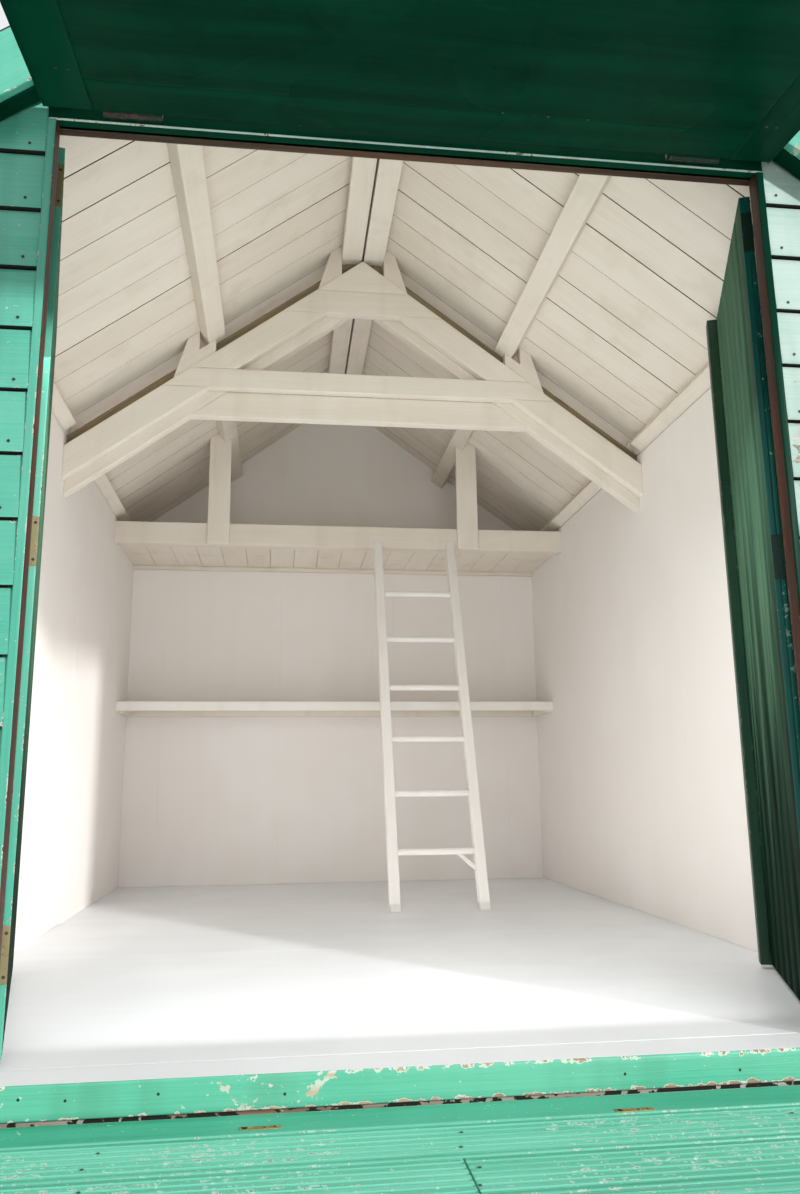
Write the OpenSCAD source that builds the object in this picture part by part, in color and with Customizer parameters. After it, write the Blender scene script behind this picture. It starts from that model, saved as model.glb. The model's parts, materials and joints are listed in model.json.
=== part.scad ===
// Timber beach hut: framed walls, a boarded roof on purlins, a roof truss and a loft.
// Double doors open into the room and a shutter flap is raised over them.
// Origin at ground level under the middle of the hut, +Y into the hut, +Z up.

/* [Room] */
// Width between the inner faces of the side walls
room_w = 2180; // [2180:10:2700]
// Depth between the inner faces of the front and back walls
room_d = 3093; // [2600:1:4000]
// Height of the roof boards over the floor where they meet the side walls
eaves_h = 1833; // [1830:1:2300]
// Pitch of both roof slopes in degrees
roof_pitch = 36.5; // [36:0.5:45]

/* [Floor] */
// Height of the bearers that lie on the ground
bearer_h = 100; // [60:5:150]
// Width of the bearers
bearer_w = 100; // [75:5:150]
// Height of the floor joists
joist_h = 110; // [80:5:150]
// Thickness of the floor joists
joist_t = 45; // [38:1:60]
// Number of floor joists
joist_count = 9; // [5:1:14]
// Thickness of the floor boards
floor_board_t = 25; // [18:1:30]
// Height of the door sill
sill_h = 57; // [40:1:80]
// Distance that the sill stands out in front of the wall
sill_nose = 34; // [0:1:60]

/* [Walls] */
// Thickness of the outside boarding
cladding_t = 18; // [12:1:25]
// Thickness of the framed front wall behind the boarding
front_frame_t = 49; // [48:1:60]
// Thickness of the framed side and back walls behind the boarding
wall_frame_t = 42; // [35:1:90]
// Distance that the boarding hangs below the top of the floor joists
cladding_drop = 90; // [40:5:100]
// Width of each arm of the corner boards
corner_w = 60; // [40:5:90]
// Thickness of the corner boards
corner_t = 18; // [12:1:25]

/* [Doorway] */
// Width between the door stops
opening_w = 1556; // [1300:2:1600]
// Height under the door head
opening_h = 1866; // [1600:2:1866]
// Width of the door stops seen from the front
stop_w = 18; // [15:1:25]
// Depth of the door stops
stop_d = 36; // [20:1:36]
// Width of the door posts
post_w = 45; // [40:1:70]
// Height of the door head
head_h = 110; // [80:5:120]

/* [Doors] */
// Angle to which the left-hand door stands open, from closed
open_left = 104; // [0:1:104]
// Angle to which the right-hand door stands open, from closed
open_right = 111; // [0:1:111]
// Distance of the line where the doors meet from the centre line
meeting_x = 150; // [0:5:150]
// Thickness of a door leaf
leaf_t = 25; // [20:1:25]
// Distance that the closed leaves reach behind the door stops and the head
leaf_lap = 27.5; // [20:0.5:35]
// Clearance over the top of the leaves
leaf_gap_top = 16; // [14:1:24]
// Clearance under the leaves
leaf_gap_floor = 12; // [5:1:25]
// Gap between the two closed leaves
leaf_gap_middle = 10; // [8:1:20]
// Width of the stile on the hinge side
hinge_stile_w = 75; // [50:1:120]
// Width of the stile on the meeting side
meeting_stile_w = 60; // [40:1:120]
// Width of the top and bottom rails
leaf_rail_w = 100; // [60:1:150]
// Thickness of the reeded boards on the outer side of the leaves
leaf_board_t = 14; // [10:1:16]
// Height of the rebate in the head over the leaves
head_rebate = 9; // [5:1:12]
// Width of the cover strip on the meeting edge
cover_w = 42; // [20:1:60]
// Thickness of the cover strip
cover_t = 28; // [10:1:28]

/* [Hinges] */
// Length of the door hinges
door_hinge_l = 102; // [75:1:150]
// Heights of the middles of the door hinges over the floor
door_hinge_z = [190, 970, 1765];
// Outer radius of the hinge knuckles
knuckle_r = 6; // [5:0.5:8]
// Radius of the hinge pins
hinge_pin_r = 3; // [2:0.5:4]
// Running clearance round the hinge pins
pin_clear = 0.1; // [0.05:0.01:0.1]
// Thickness of the hinge plates
plate_t = 2; // [1.5:0.1:2.2]
// Width of the hinge plates beside the knuckles
plate_w = 25; // [15:1:35]

/* [Shutter flap] */
// Width of the flap
flap_w = 1600; // [1300:10:1600]
// Length of the flap from its hinged edge
flap_l = 900; // [500:10:1100]
// Height of the flap's hinge line over the door opening
flap_hinge_up = 8; // [5:1:9]
// Distance of the flap's hinge line in front of the wall
flap_hinge_out = 16; // [12:1:25]
// Angle that the raised flap droops below level
flap_droop = 6; // [0:1:20]
// Thickness of the flap's stiles and rails
flap_frame_t = 20; // [15:1:22]
// Width of the flap's stiles and rails
flap_stile_w = 100; // [60:5:140]
// Thickness of the flap's boards
flap_board_t = 14; // [10:1:16]
// Length of the flap's hinges
flap_hinge_l = 120; // [60:5:150]
// Distance of the flap's hinges from the centre line
flap_hinge_x = 620; // [400:10:650]

/* [Roof] */
// Thickness of the roof boards
roof_board_t = 18; // [12:1:25]
// Thickness of the roof felt with its battens
felt_t = 6; // [3:1:12]
// Gap at which the felt lies on the boards, and the ridge capping on the felt
felt_seat = 0.3; // [0.1:0.1:0.9]
// Distance that the roof stands out past the side walls
eaves_out = 120; // [60:5:200]
// Distance that the roof stands out in front
front_out = 45; // [30:5:60]
// Distance that the roof stands out at the back
back_out = 45; // [30:5:200]
// Width of the purlins
purlin_w = 75; // [50:5:100]
// Depth of the purlins
purlin_d = 60; // [40:5:80]
// Distance of the middle purlins from the centre line, along the roof boards' underside
purlin_x = 590; // [450:5:700]
// Depth that the lower purlins are let into the side walls
purlin_let = 18; // [18:1:20]
// Width of each of the two ridge beams
ridge_beam_w = 79; // [50:1:100]
// Gap between the ridge beams
ridge_gap = 8; // [2:1:20]
// Depth of the ridge beams' underside below the point of the roof
ridge_beam_d = 120; // [90:1:125]
// Depth of the verge soffit below the roof boards, straight down
soffit_drop = 134; // [100:1:135]
// Thickness of the verge soffit
soffit_t = 12; // [9:1:18]
// Thickness of the barge boards and fascias
barge_t = 20; // [15:1:30]
// Height of the eaves fascias
fascia_h = 100; // [60:5:150]
// Width of each side of the ridge capping
cap_w = 110; // [60:5:160]
// Thickness of the ridge capping
cap_t = 8; // [4:1:20]

/* [Truss] */
// Distance of the truss's front face behind the front of the hut
truss_y = 1514; // [1100:1:1700]
// Thickness of the facing boards on the front of the truss
facing_t = 40; // [20:1:50]
// Thickness of the rafters behind them
rafter_t = 45; // [35:1:70]
// Width of the facing boards and of the rafters
rafter_d = 100; // [80:1:140]
// Depth of the facing boards' top edge below the roof boards
facing_drop = 103; // [90:1:140]
// Distance that the rafters show below the facing boards, straight down
rafter_show = 50; // [20:1:80]
// Height of the collar board's lower edge over the level of the eaves
collar_rise = 122; // [60:1:250]
// Depth of the collar board on the front
collar_d = 76; // [60:1:120]
// Depth of the tie behind and below it
tie_d = 99; // [60:1:120]
// Depth of the lower gusset board
gusset_low_d = 95; // [60:1:120]
// Depth of the whole gusset below the point of the facings
gusset_d = 229; // [150:1:300]
// Length along the roof of the cleats below the purlins and the ridge
cleat_l = 55; // [30:1:80]
// Extra length of the cleats at their splayed foot
cleat_splay = 60; // [0:1:80]
// Distance that the cleats lie back from the front of the truss
cleat_set = 5; // [0:1:15]
// Joint between butted boards
joint_gap = 0.6; // [0.4:0.1:0.9]

/* [Loft] */
// Distance of the loft beam's front face from the back wall
loft_d = 583; // [400:1:900]
// Depth of the loft beam
loft_beam_h = 105; // [80:1:140]
// Thickness of the loft beam
loft_beam_t = 45; // [35:1:60]
// Distance of the loft beam's top below the level of the eaves
loft_drop = 103; // [90:1:200]
// Thickness of the loft boards
loft_board_t = 20; // [15:1:25]
// Distance of the loft boards' underside over the beam's underside
loft_board_up = 23; // [15:1:60]
// Depth of the ledgers under the loft boards
loft_ledger_h = 20; // [15:1:40]
// Width of the ledgers under the loft boards
loft_ledger_w = 30; // [20:1:60]
// Width of the posts between the beam and the purlins
loft_post_w = 103; // [60:1:120]
// Thickness of these posts
loft_post_t = 22; // [15:1:40]
// Distance of the posts' inner edges from the centre line
loft_post_x = 555; // [400:5:700]

/* [Ladder] */
// Width of the ladder over its stringers
ladder_w = 400; // [300:5:500]
// Distance of the ladder's middle from the centre line
ladder_x = 340; // [-400:5:340]
// Distance of the ladder's foot from the loft beam
ladder_foot = 602; // [300:2:800]
// Width of the stringers seen from the front
stringer_w = 42; // [30:1:50]
// Depth of the stringers
stringer_d = 45; // [40:1:90]
// Distance of the ladder's top over the loft beam's underside
ladder_up = 43; // [20:1:80]
// Height of the first rung over the floor
rung_first = 220; // [150:5:300]
// Distance between the rungs
rung_step = 232; // [180:1:300]
// Radius of the rungs
rung_r = 13; // [10:1:18]
// Reach of the brace under the lowest rung along the rung
brace_run = 85; // [60:1:120]
// Reach of this brace down the stringer
brace_drop = 80; // [60:1:100]
// Width of the brace
brace_w = 18; // [12:1:25]
// Thickness of the brace
brace_t = 10; // [8:1:16]

/* [Shelf] */
// Height of the back shelf's top over the floor
shelf_h = 900; // [700:5:1100]
// Depth of the back shelf from front to back
shelf_d = 316; // [200:1:400]
// Thickness of the shelf board
shelf_t = 22; // [15:1:30]
// Depth of the lip along the shelf's front edge
shelf_lip_h = 45; // [25:1:60]
// Thickness of the lip
shelf_lip_t = 20; // [12:1:30]
// Size of the ledgers under the shelf
shelf_ledger = 32; // [20:1:45]

/* [Deck] */
// Depth of the deck in front of the sill
deck_d = 800; // [450:10:1200]
// Drop from the floor to the deck
deck_drop = 60; // [58:1:100]
// Gap between the sill and the deck
deck_sill_gap = 6; // [3:1:15]
// Width of the plain strip of deck next to the sill
deck_strip_w = 95; // [60:1:145]
// Width of the ribbed deck boards
deck_board_w = 135; // [95:1:145]
// Thickness of the deck boards
deck_board_t = 28; // [20:1:32]
// Gap between the deck boards
deck_board_gap = 5; // [3:1:10]
// Height of the deck joists
deck_joist_h = 95; // [70:5:100]
// Number of deck joists
deck_joist_count = 5; // [3:1:8]

/* [Hidden] */
$fn = 48;

// Walls and levels
room_x = room_w / 2;
frame_x = room_x + wall_frame_t;
hut_x = frame_x + cladding_t;
front_t = cladding_t + front_frame_t;
hut_d = front_t + room_d + wall_frame_t + cladding_t;
front_y = -hut_d / 2;
room_front = front_y + front_t;
room_back = room_front + room_d;
frame_back = room_back + wall_frame_t;
back_y = hut_d / 2;
joist_top = bearer_h + joist_h;
floor_z = joist_top + floor_board_t;
cladding_z = joist_top - cladding_drop;
head_z = floor_z + opening_h;

// Doorway
stop_x = opening_w / 2;
wall_edge_x = stop_x + stop_w;
hinge_seat = plate_t + 0.5;
pin_off = knuckle_r + 0.5;
leaf_x = stop_x + leaf_lap;
pin_x = leaf_x + hinge_seat;
pin_y = room_front + pin_off;
post_x = pin_x + hinge_seat;
post_out_x = post_x + post_w;
leaf_left_w = leaf_x + meeting_x - leaf_gap_middle / 2;
leaf_right_w = leaf_x - meeting_x - leaf_gap_middle / 2;
leaf_h = opening_h + head_rebate - leaf_gap_top - leaf_gap_floor;
leaf_z = floor_z + leaf_gap_floor;
leaf_front = room_front - leaf_t;
knuckle_gap = 0.3;

// Flap, drawn hanging closed and then raised
flap_pin_y = front_y - flap_hinge_out;
flap_pin_z = head_z + flap_hinge_up;
flap_swing = 90 - flap_droop;
flap_top_z = flap_pin_z - pin_off - plate_t;
flap_mid_y = flap_pin_y - flap_frame_t;

// Roof
eaves_x = hut_x + eaves_out;
verge_front = front_y - front_out;
verge_back = back_y + back_out;
ridge_x = ridge_gap / 2 + ridge_beam_w;
ridge_z = roof_z(0) - ridge_beam_d;
felt_top = drop(roof_board_t + felt_seat + felt_t);

// Truss, loft and ladder
truss_front = front_y + truss_y;
truss_mid = truss_front + facing_t;
truss_back = truss_mid + rafter_t;
eaves_z = floor_z + eaves_h;
facing_low = drop(facing_drop + rafter_d);
rafter_low = facing_low + rafter_show;
rafter_top = rafter_low - drop(rafter_d);
facing_apex = roof_z(0) - drop(facing_drop);
collar_z = eaves_z + collar_rise;
gusset_z = facing_apex - gusset_d;
loft_y = room_back - loft_d;
loft_top = eaves_z - loft_drop;
loft_z = loft_top - loft_beam_h;
loft_board_z = loft_z + loft_board_up;
ladder_top = loft_z + ladder_up;
ladder_tan = ladder_foot / (ladder_top - floor_z);
stringer_run = stringer_d * sqrt(1 + ladder_tan * ladder_tan);
shelf_z = floor_z + shelf_h;
shelf_y = room_back - shelf_d;

// Deck
deck_y = front_y - sill_nose - deck_sill_gap;
deck_z = floor_z - deck_drop;
deck_frame_z = deck_z - deck_board_t;
deck_pitch = deck_board_w + deck_board_gap;
deck_board_count = floor((deck_d - deck_strip_w) / deck_pitch);
deck_end = deck_y - deck_strip_w - deck_board_count * deck_pitch;
sleeper_h = deck_frame_z - deck_joist_h;

// Height of the roof boards' underside at a distance from the centre line
function roof_z(x) = floor_z + eaves_h + (room_x - abs(x)) * tan(roof_pitch);
// Straight drop that a depth square to the roof makes
function drop(d) = d / cos(roof_pitch);
// Distance from the centre line where a line at a given drop below the roof is at height z
function roof_x(z, d) = room_x - (z - floor_z - eaves_h + d) / tan(roof_pitch);

module block(x0, x1, y0, y1, z0, z1) {
    translate([x0, y0, z0]) cube([x1 - x0, y1 - y0, z1 - z0]);
}

module both_sides() {
    children();
    mirror([1, 0, 0]) children();
}

// Extrudes an outline drawn in X and Z from y0 to y1
module along_y(y0, y1) {
    translate([0, y1, 0]) rotate([90, 0, 0]) linear_extrude(y1 - y0) children();
}

// Extrudes an outline drawn in Y and Z from x0 to x1
module along_x(x0, x1) {
    translate([x0, 0, 0]) rotate([90, 0, 90]) linear_extrude(x1 - x0) children();
}

// Band of the right-hand slope between two drops below the roof boards
module slope_band(x0, x1, d0, d1) {
    polygon([[x0, roof_z(x0) - d0], [x1, roof_z(x1) - d0], [x1, roof_z(x1) - d1], [x0, roof_z(x0) - d1]]);
}

// Outline of a wall from height z0 up to the roof boards
module wall_outline(x0, x1, z0) {
    polygon([[x0, z0], [x1, z0], [x1, roof_z(x1)], [x0, roof_z(x0)]]);
}

module gable_outline(x, z0) {
    polygon([[-x, z0], [x, z0], [x, roof_z(x)], [0, roof_z(0)], [-x, roof_z(x)]]);
}

module purlin_outline(x) {
    translate([x, roof_z(x)]) rotate(-roof_pitch) translate([-purlin_w / 2, -purlin_d])
        square([purlin_w, purlin_d]);
}

// Cut for a middle purlin that reaches to one distance towards the ridge
module purlin_notch(uphill) {
    translate([purlin_x, roof_z(purlin_x)]) rotate(-roof_pitch) translate([-uphill, -purlin_d])
        square([uphill + purlin_w / 2, 2 * purlin_d]);
}

module ridge_outline() {
    polygon([
        [ridge_gap / 2, ridge_z], [ridge_x, ridge_z],
        [ridge_x, roof_z(ridge_x)], [ridge_gap / 2, roof_z(ridge_gap / 2)]
    ]);
}

// What passes through both gables, cut upwards past the roof boards
module roof_timbers_outline() {
    both_sides() purlin_notch(purlin_w / 2);
    translate([-ridge_x, ridge_z]) square([2 * ridge_x, roof_z(0)]);
}

module ground_bearers() color("dimgray") {
    block(-bearer_w / 2, bearer_w / 2, front_y, frame_back, 0, bearer_h);
    both_sides() block(frame_x - bearer_w, frame_x, front_y, frame_back, 0, bearer_h);
    for (y = [deck_end, deck_y - bearer_w]) block(-hut_x, hut_x, y, y + bearer_w, 0, sleeper_h);
}

module floor_joists() color("tan") {
    span = frame_back - joist_t - room_front;
    for (i = [0 : joist_count - 1]) {
        y = room_front + i * span / (joist_count - 1);
        block(-frame_x, frame_x, y, y + joist_t, bearer_h, joist_top);
    }
    block(-frame_x, frame_x, front_y, front_y + joist_t, bearer_h, floor_z - sill_h);
}

module floor_boards() color("whitesmoke") {
    block(-frame_x, frame_x, room_front, frame_back, joist_top, floor_z);
}

module door_sill() color("mediumseagreen") {
    back = front_y + cladding_t;
    block(-hut_x, hut_x, front_y - sill_nose, back, floor_z - sill_h, floor_z);
    block(-frame_x, frame_x, back, room_front, floor_z - sill_h, floor_z);
}

module front_walls() color("white") both_sides() {
    along_y(front_y + cladding_t, room_front) wall_outline(post_out_x, frame_x, floor_z);
}

module front_gable() color("white") {
    along_y(front_y + cladding_t, room_front) difference() {
        gable_outline(post_out_x, head_z + head_h);
        roof_timbers_outline();
    }
}

module door_posts() color("saddlebrown") both_sides() {
    block(post_x, post_out_x, front_y + cladding_t, room_front, floor_z, head_z);
}

// Head with a rebate over the closed leaves
module door_head() color("darkgreen") difference() {
    union() {
        block(-wall_edge_x, wall_edge_x, front_y, room_front, head_z, head_z + head_h);
        both_sides() block(stop_x, post_out_x, front_y + cladding_t, room_front, head_z, head_z + head_h);
    }
    block(-post_x, post_x, front_y + stop_d, room_front + 1, head_z - 1, head_z + head_rebate);
}

// Door stops, lapped by the boarding over their outer part
module door_stops() color("mediumseagreen") both_sides() {
    translate([0, 0, floor_z]) linear_extrude(opening_h) polygon([
        [stop_x, front_y], [wall_edge_x, front_y], [wall_edge_x, front_y + cladding_t],
        [post_x, front_y + cladding_t], [post_x, front_y + stop_d], [stop_x, front_y + stop_d]
    ]);
}

module side_walls() color("white") both_sides() {
    along_y(room_front, room_back) wall_outline(room_x, frame_x, floor_z);
}

module back_wall() color("white") {
    along_y(room_back, frame_back) difference() {
        gable_outline(frame_x, floor_z);
        roof_timbers_outline();
    }
}

module front_cladding() color("mediumseagreen") both_sides() {
    along_y(front_y, front_y + cladding_t) wall_outline(wall_edge_x, hut_x, floor_z);
}

module gable_cladding() color("mediumseagreen") {
    along_y(front_y, front_y + cladding_t) difference() {
        gable_outline(wall_edge_x, head_z + head_h);
        roof_timbers_outline();
    }
}

module side_cladding() color("mediumseagreen") both_sides() {
    along_y(front_y + cladding_t, frame_back) wall_outline(frame_x, hut_x, cladding_z);
}

module back_cladding() color("mediumseagreen") {
    along_y(frame_back, back_y) difference() {
        gable_outline(hut_x, cladding_z);
        roof_timbers_outline();
    }
}

// Corner board of two arms: one on the gable side, one on the long side
module corner_board(wall_y, out, z0) {
    outer_x = hut_x + corner_t;
    side_y = min(wall_y, wall_y - out * corner_w);
    end_y = min(wall_y, wall_y + out * corner_t);
    block(hut_x, outer_x, side_y, side_y + corner_w, cladding_z, roof_z(outer_x));
    block(outer_x - corner_w, outer_x, end_y, end_y + corner_t, z0, roof_z(outer_x) - soffit_drop);
}

module corner_boards() color("seagreen") both_sides() {
    corner_board(front_y, -1, floor_z);
    corner_board(back_y, 1, cladding_z);
}

// Doors, drawn closed on the left-hand side and turned open
module door_turn(angle) {
    translate([-pin_x, pin_y, 0]) rotate([0, 0, angle]) translate([pin_x, -pin_y, 0]) children();
}

// Two stiles from top to bottom and two rails between them
module stiles_and_rails(x0, x1, y0, y1, z0, z1, stile_0, stile_1, rail) {
    block(x0, x0 + stile_0, y0, y1, z0, z1);
    block(x1 - stile_1, x1, y0, y1, z0, z1);
    for (z = [z0, z1 - rail]) {
        block(x0 + stile_0 + joint_gap, x1 - stile_1 - joint_gap, y0, y1, z, z + rail);
    }
}

// Frame on the inner side of a leaf of width w
module leaf_frame(w) {
    stiles_and_rails(
        -leaf_x, w - leaf_x, leaf_front + leaf_board_t, room_front, leaf_z, leaf_z + leaf_h,
        hinge_stile_w, meeting_stile_w, leaf_rail_w
    );
}

// Boards over the whole outer side of a leaf of width w
module leaf_boards(w) {
    block(-leaf_x, w - leaf_x, leaf_front, leaf_front + leaf_board_t, leaf_z, leaf_z + leaf_h);
}

// One third of a hinge's length at the knuckle: a tube on its plate's root, standing on z = 0
module knuckle(l, off) {
    difference() {
        union() {
            cylinder(r = knuckle_r, h = l);
            block(off, off + plate_t, -pin_off, 0, 0, l);
        }
        translate([0, 0, -1]) cylinder(r = hinge_pin_r + pin_clear, h = l + 2);
    }
}

// Half of a hinge that moves: its plate and the middle knuckle
module moving_half(l) {
    third = l / 3;
    block(0.5, 0.5 + plate_t, -pin_off - plate_w, -pin_off, 0, l);
    translate([0, 0, third + knuckle_gap]) knuckle(third - 2 * knuckle_gap, 0.5);
}

// Half of a hinge that stays: its plate, the outer knuckles and the pin through all three
module fixed_half(l) {
    third = l / 3;
    block(-0.5 - plate_t, -0.5, -pin_off - plate_w, -pin_off, 0, l);
    for (z = [0, 2 * third]) translate([0, 0, z]) {
        cylinder(r = knuckle_r, h = third);
        block(-0.5 - plate_t, -0.5, -pin_off, 0, 0, third);
    }
    cylinder(r = hinge_pin_r, h = l);
}

module at_door_hinges() {
    for (z = door_hinge_z) translate([-pin_x, pin_y, floor_z + z - door_hinge_l / 2]) children();
}

module door_left_frame() color("teal") door_turn(open_left) leaf_frame(leaf_left_w);

module door_left_boards() color("darkseagreen") door_turn(open_left) leaf_boards(leaf_left_w);

module door_left_hinges() color("gray")
    door_turn(open_left) at_door_hinges() moving_half(door_hinge_l);

module door_right_frame() color("teal")
    mirror([1, 0, 0]) door_turn(open_right) leaf_frame(leaf_right_w);

module door_right_boards() color("darkseagreen")
    mirror([1, 0, 0]) door_turn(open_right) leaf_boards(leaf_right_w);

module door_right_hinges() color("gray")
    mirror([1, 0, 0]) door_turn(open_right) at_door_hinges() moving_half(door_hinge_l);

module cover_strip() color("darkgreen") mirror([1, 0, 0]) door_turn(open_right) {
    edge = leaf_right_w - leaf_x;
    block(edge - cover_w, edge, leaf_front - cover_t, leaf_front, leaf_z, leaf_z + leaf_h);
}

// Hinges of the flap stand with their length along X
module at_flap_hinges() {
    for (x = [-flap_hinge_x, flap_hinge_x]) {
        translate([x - flap_hinge_l / 2, flap_pin_y, flap_pin_z]) children();
    }
}

module fixed_hinges() color("gray") {
    both_sides() at_door_hinges() fixed_half(door_hinge_l);
    at_flap_hinges() flap_fixed_half();
}

// Plate on the wall with a web out to each outer knuckle, and the pin
module flap_fixed_half() {
    third = flap_hinge_l / 3;
    block(0, flap_hinge_l, flap_hinge_out - plate_t, flap_hinge_out, 0, pin_off + plate_w);
    for (x = [0, 2 * third]) translate([x, 0, 0]) {
        rotate([0, 90, 0]) cylinder(r = knuckle_r, h = third);
        block(0, third, 0, flap_hinge_out, 0, plate_t);
    }
    rotate([0, 90, 0]) cylinder(r = hinge_pin_r, h = flap_hinge_l);
}

// The flap is drawn hanging closed and turned up
module flap_turn() {
    translate([0, flap_pin_y, flap_pin_z]) rotate([-flap_swing, 0, 0])
        translate([0, -flap_pin_y, -flap_pin_z]) children();
}

module flap_frame() color("darkgreen") flap_turn() {
    stiles_and_rails(
        -flap_w / 2, flap_w / 2, flap_mid_y, flap_pin_y, flap_top_z - flap_l, flap_top_z,
        flap_stile_w, flap_stile_w, flap_stile_w
    );
}

module flap_boards() color("seagreen") flap_turn() {
    block(-flap_w / 2, flap_w / 2, flap_mid_y - flap_board_t, flap_mid_y, flap_top_z - flap_l, flap_top_z);
}

// Plate on the flap's inner end and the middle knuckle
module flap_moving_half() {
    third = flap_hinge_l / 3;
    middle = third - 2 * knuckle_gap;
    block(0, flap_hinge_l, -plate_w, 0, -pin_off - plate_t, -pin_off);
    translate([third + knuckle_gap, 0, 0]) difference() {
        union() {
            rotate([0, 90, 0]) cylinder(r = knuckle_r, h = middle);
            block(0, middle, -knuckle_r, 0, -pin_off, 0);
        }
        translate([-1, 0, 0]) rotate([0, 90, 0]) cylinder(r = hinge_pin_r + pin_clear, h = third + 2);
    }
}

module flap_hinges() color("gray") flap_turn() at_flap_hinges() flap_moving_half();

module roof_slope(x0, x1, d0, d1, front, back) {
    along_y(front, back) slope_band(x0, x1, d0, d1);
}

// The slopes meet at the ridge with a joint gap between them
module roof_boards() color("white") both_sides() {
    roof_slope(joint_gap / 2, eaves_x, -drop(roof_board_t), 0, verge_front, verge_back);
}

module roof_felt() color("darkslategray") both_sides() {
    roof_slope(
        joint_gap / 2, eaves_x + barge_t, -felt_top, drop(felt_t) - felt_top,
        verge_front - barge_t, verge_back + barge_t
    );
}

module ridge_cap() color("darkslategray") {
    under = felt_top + drop(felt_seat);
    run = cap_w * cos(roof_pitch);
    along_y(verge_front - barge_t, verge_back + barge_t) polygon([
        [0, roof_z(0) + under], [run, roof_z(run) + under],
        [run, roof_z(run) + under + drop(cap_t)], [0, roof_z(0) + under + drop(cap_t)],
        [-run, roof_z(run) + under + drop(cap_t)], [-run, roof_z(run) + under]
    ]);
}

module purlins() color("white") both_sides() {
    along_y(verge_front, verge_back) purlin_outline(purlin_x);
    eaves_top_x = room_x - purlin_w / 2 * cos(roof_pitch) + purlin_d * sin(roof_pitch) + purlin_let;
    for (bay = [[room_front, truss_front], [truss_back, room_back]]) {
        along_y(bay[0], bay[1]) intersection() {
            purlin_outline(eaves_top_x);
            square([room_x, 2 * floor_z + 2 * eaves_h]);
        }
    }
}

module ridge_beams() color("white") both_sides() along_y(verge_front, verge_back) ridge_outline();

module barge_board() {
    along_y(0, barge_t) slope_band(joint_gap / 2, eaves_x + barge_t, -drop(roof_board_t), soffit_drop);
}

module barge_boards() color("mediumseagreen") {
    for (y = [verge_front - barge_t, verge_back]) translate([0, y, 0]) {
        both_sides() barge_board();
    }
}

module verge_soffits() color("mediumseagreen") both_sides() {
    for (y = [[verge_front, front_y], [back_y, verge_back]]) {
        along_y(y[0], y[1]) slope_band(joint_gap / 2, eaves_x, soffit_drop - soffit_t, soffit_drop);
    }
}

module eaves_fascias() color("mediumseagreen") both_sides() {
    top = roof_z(eaves_x) + drop(roof_board_t) - barge_t * tan(roof_pitch);
    block(eaves_x, eaves_x + barge_t, verge_front, verge_back, top - fascia_h, top);
}

// Outline between two heights, its ends cut to a slope at a drop below the roof
module trapezium(z0, z1, d) {
    x0 = roof_x(z0, d);
    x1 = roof_x(z1, d);
    polygon([[-x0, z0], [x0, z0], [x1, z1], [-x1, z1]]);
}

// Rafters and the tie between them
module truss_rafters() color("white") along_y(truss_mid, truss_back) {
    both_sides() slope_band(joint_gap / 2, room_x, rafter_top, rafter_low);
    trapezium(collar_z - tie_d, collar_z, rafter_low + joint_gap);
}

module truss_packers() color("peru") both_sides() {
    along_y(truss_mid, truss_back) difference() {
        slope_band(joint_gap / 2, room_x, drop(purlin_d), rafter_top);
        translate([0, ridge_z]) square([ridge_x, 2 * ridge_beam_d]);
    }
}

// Boards planted on the rafters' front: the collar and the lengths below and above it
module truss_facings() color("white") along_y(truss_front, truss_mid) {
    edge = drop(facing_drop);
    low_end = collar_z - joint_gap;
    high_end = collar_z + collar_d + joint_gap;
    trapezium(collar_z, collar_z + collar_d, edge);
    both_sides() {
        intersection() {
            slope_band(0, room_x, edge, facing_low);
            square([room_x, low_end]);
        }
        intersection() {
            slope_band(0, room_x, edge, facing_low);
            translate([0, high_end]) square([room_x, gusset_z - joint_gap - high_end]);
        }
    }
}

// Two boards over the point of the facings
module truss_gussets() color("white") along_y(truss_front, truss_mid) {
    edge = drop(facing_drop);
    joint = gusset_z + gusset_low_d;
    upper = joint + joint_gap;
    trapezium(gusset_z, joint, edge);
    polygon([[-roof_x(upper, edge), upper], [roof_x(upper, edge), upper], [0, facing_apex]]);
}

// Block below a roof timber whose lower side is at x, down to a joint over the facings, with a splayed foot
module cleat_outline(x) {
    top_x = x + cleat_l * cos(roof_pitch);
    foot_x = x + (cleat_l + cleat_splay) * cos(roof_pitch);
    foot = drop(facing_drop) - joint_gap;
    polygon([[x, roof_z(x)], [top_x, roof_z(top_x)], [foot_x, roof_z(foot_x) - foot], [x, roof_z(x) - foot]]);
}

module truss_cleats() color("white") both_sides() {
    along_y(truss_front + cleat_set, truss_mid) {
        cleat_outline(ridge_x);
        difference() {
            union() {
                cleat_outline(purlin_x + purlin_w / 2 * cos(roof_pitch));
                slope_band(
                    purlin_x - purlin_w / 2 * cos(roof_pitch), purlin_x + purlin_w * cos(roof_pitch),
                    drop(purlin_d), drop(facing_drop) - joint_gap
                );
            }
            purlin_notch(purlin_w / 2);
        }
    }
}

module loft_frame() color("white") {
    beam_back = loft_y + loft_beam_t;
    ledger_z = loft_board_z - loft_ledger_h;
    block(-room_x, room_x, loft_y, beam_back, loft_z, loft_top);
    block(-room_x, room_x, beam_back, beam_back + loft_ledger_w, ledger_z, loft_board_z);
    block(-room_x, room_x, room_back - loft_ledger_w, room_back, ledger_z, loft_board_z);
}

module loft_boards() color("white") {
    block(
        -room_x, room_x, loft_y + loft_beam_t, room_back, loft_board_z, loft_board_z + loft_board_t
    );
}

module loft_posts() color("white") both_sides() {
    along_y(loft_y - loft_post_t, loft_y) difference() {
        wall_outline(loft_post_x, loft_post_x + loft_post_w, loft_z);
        purlin_notch(purlin_w / 2 + loft_post_w);
    }
}

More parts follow.
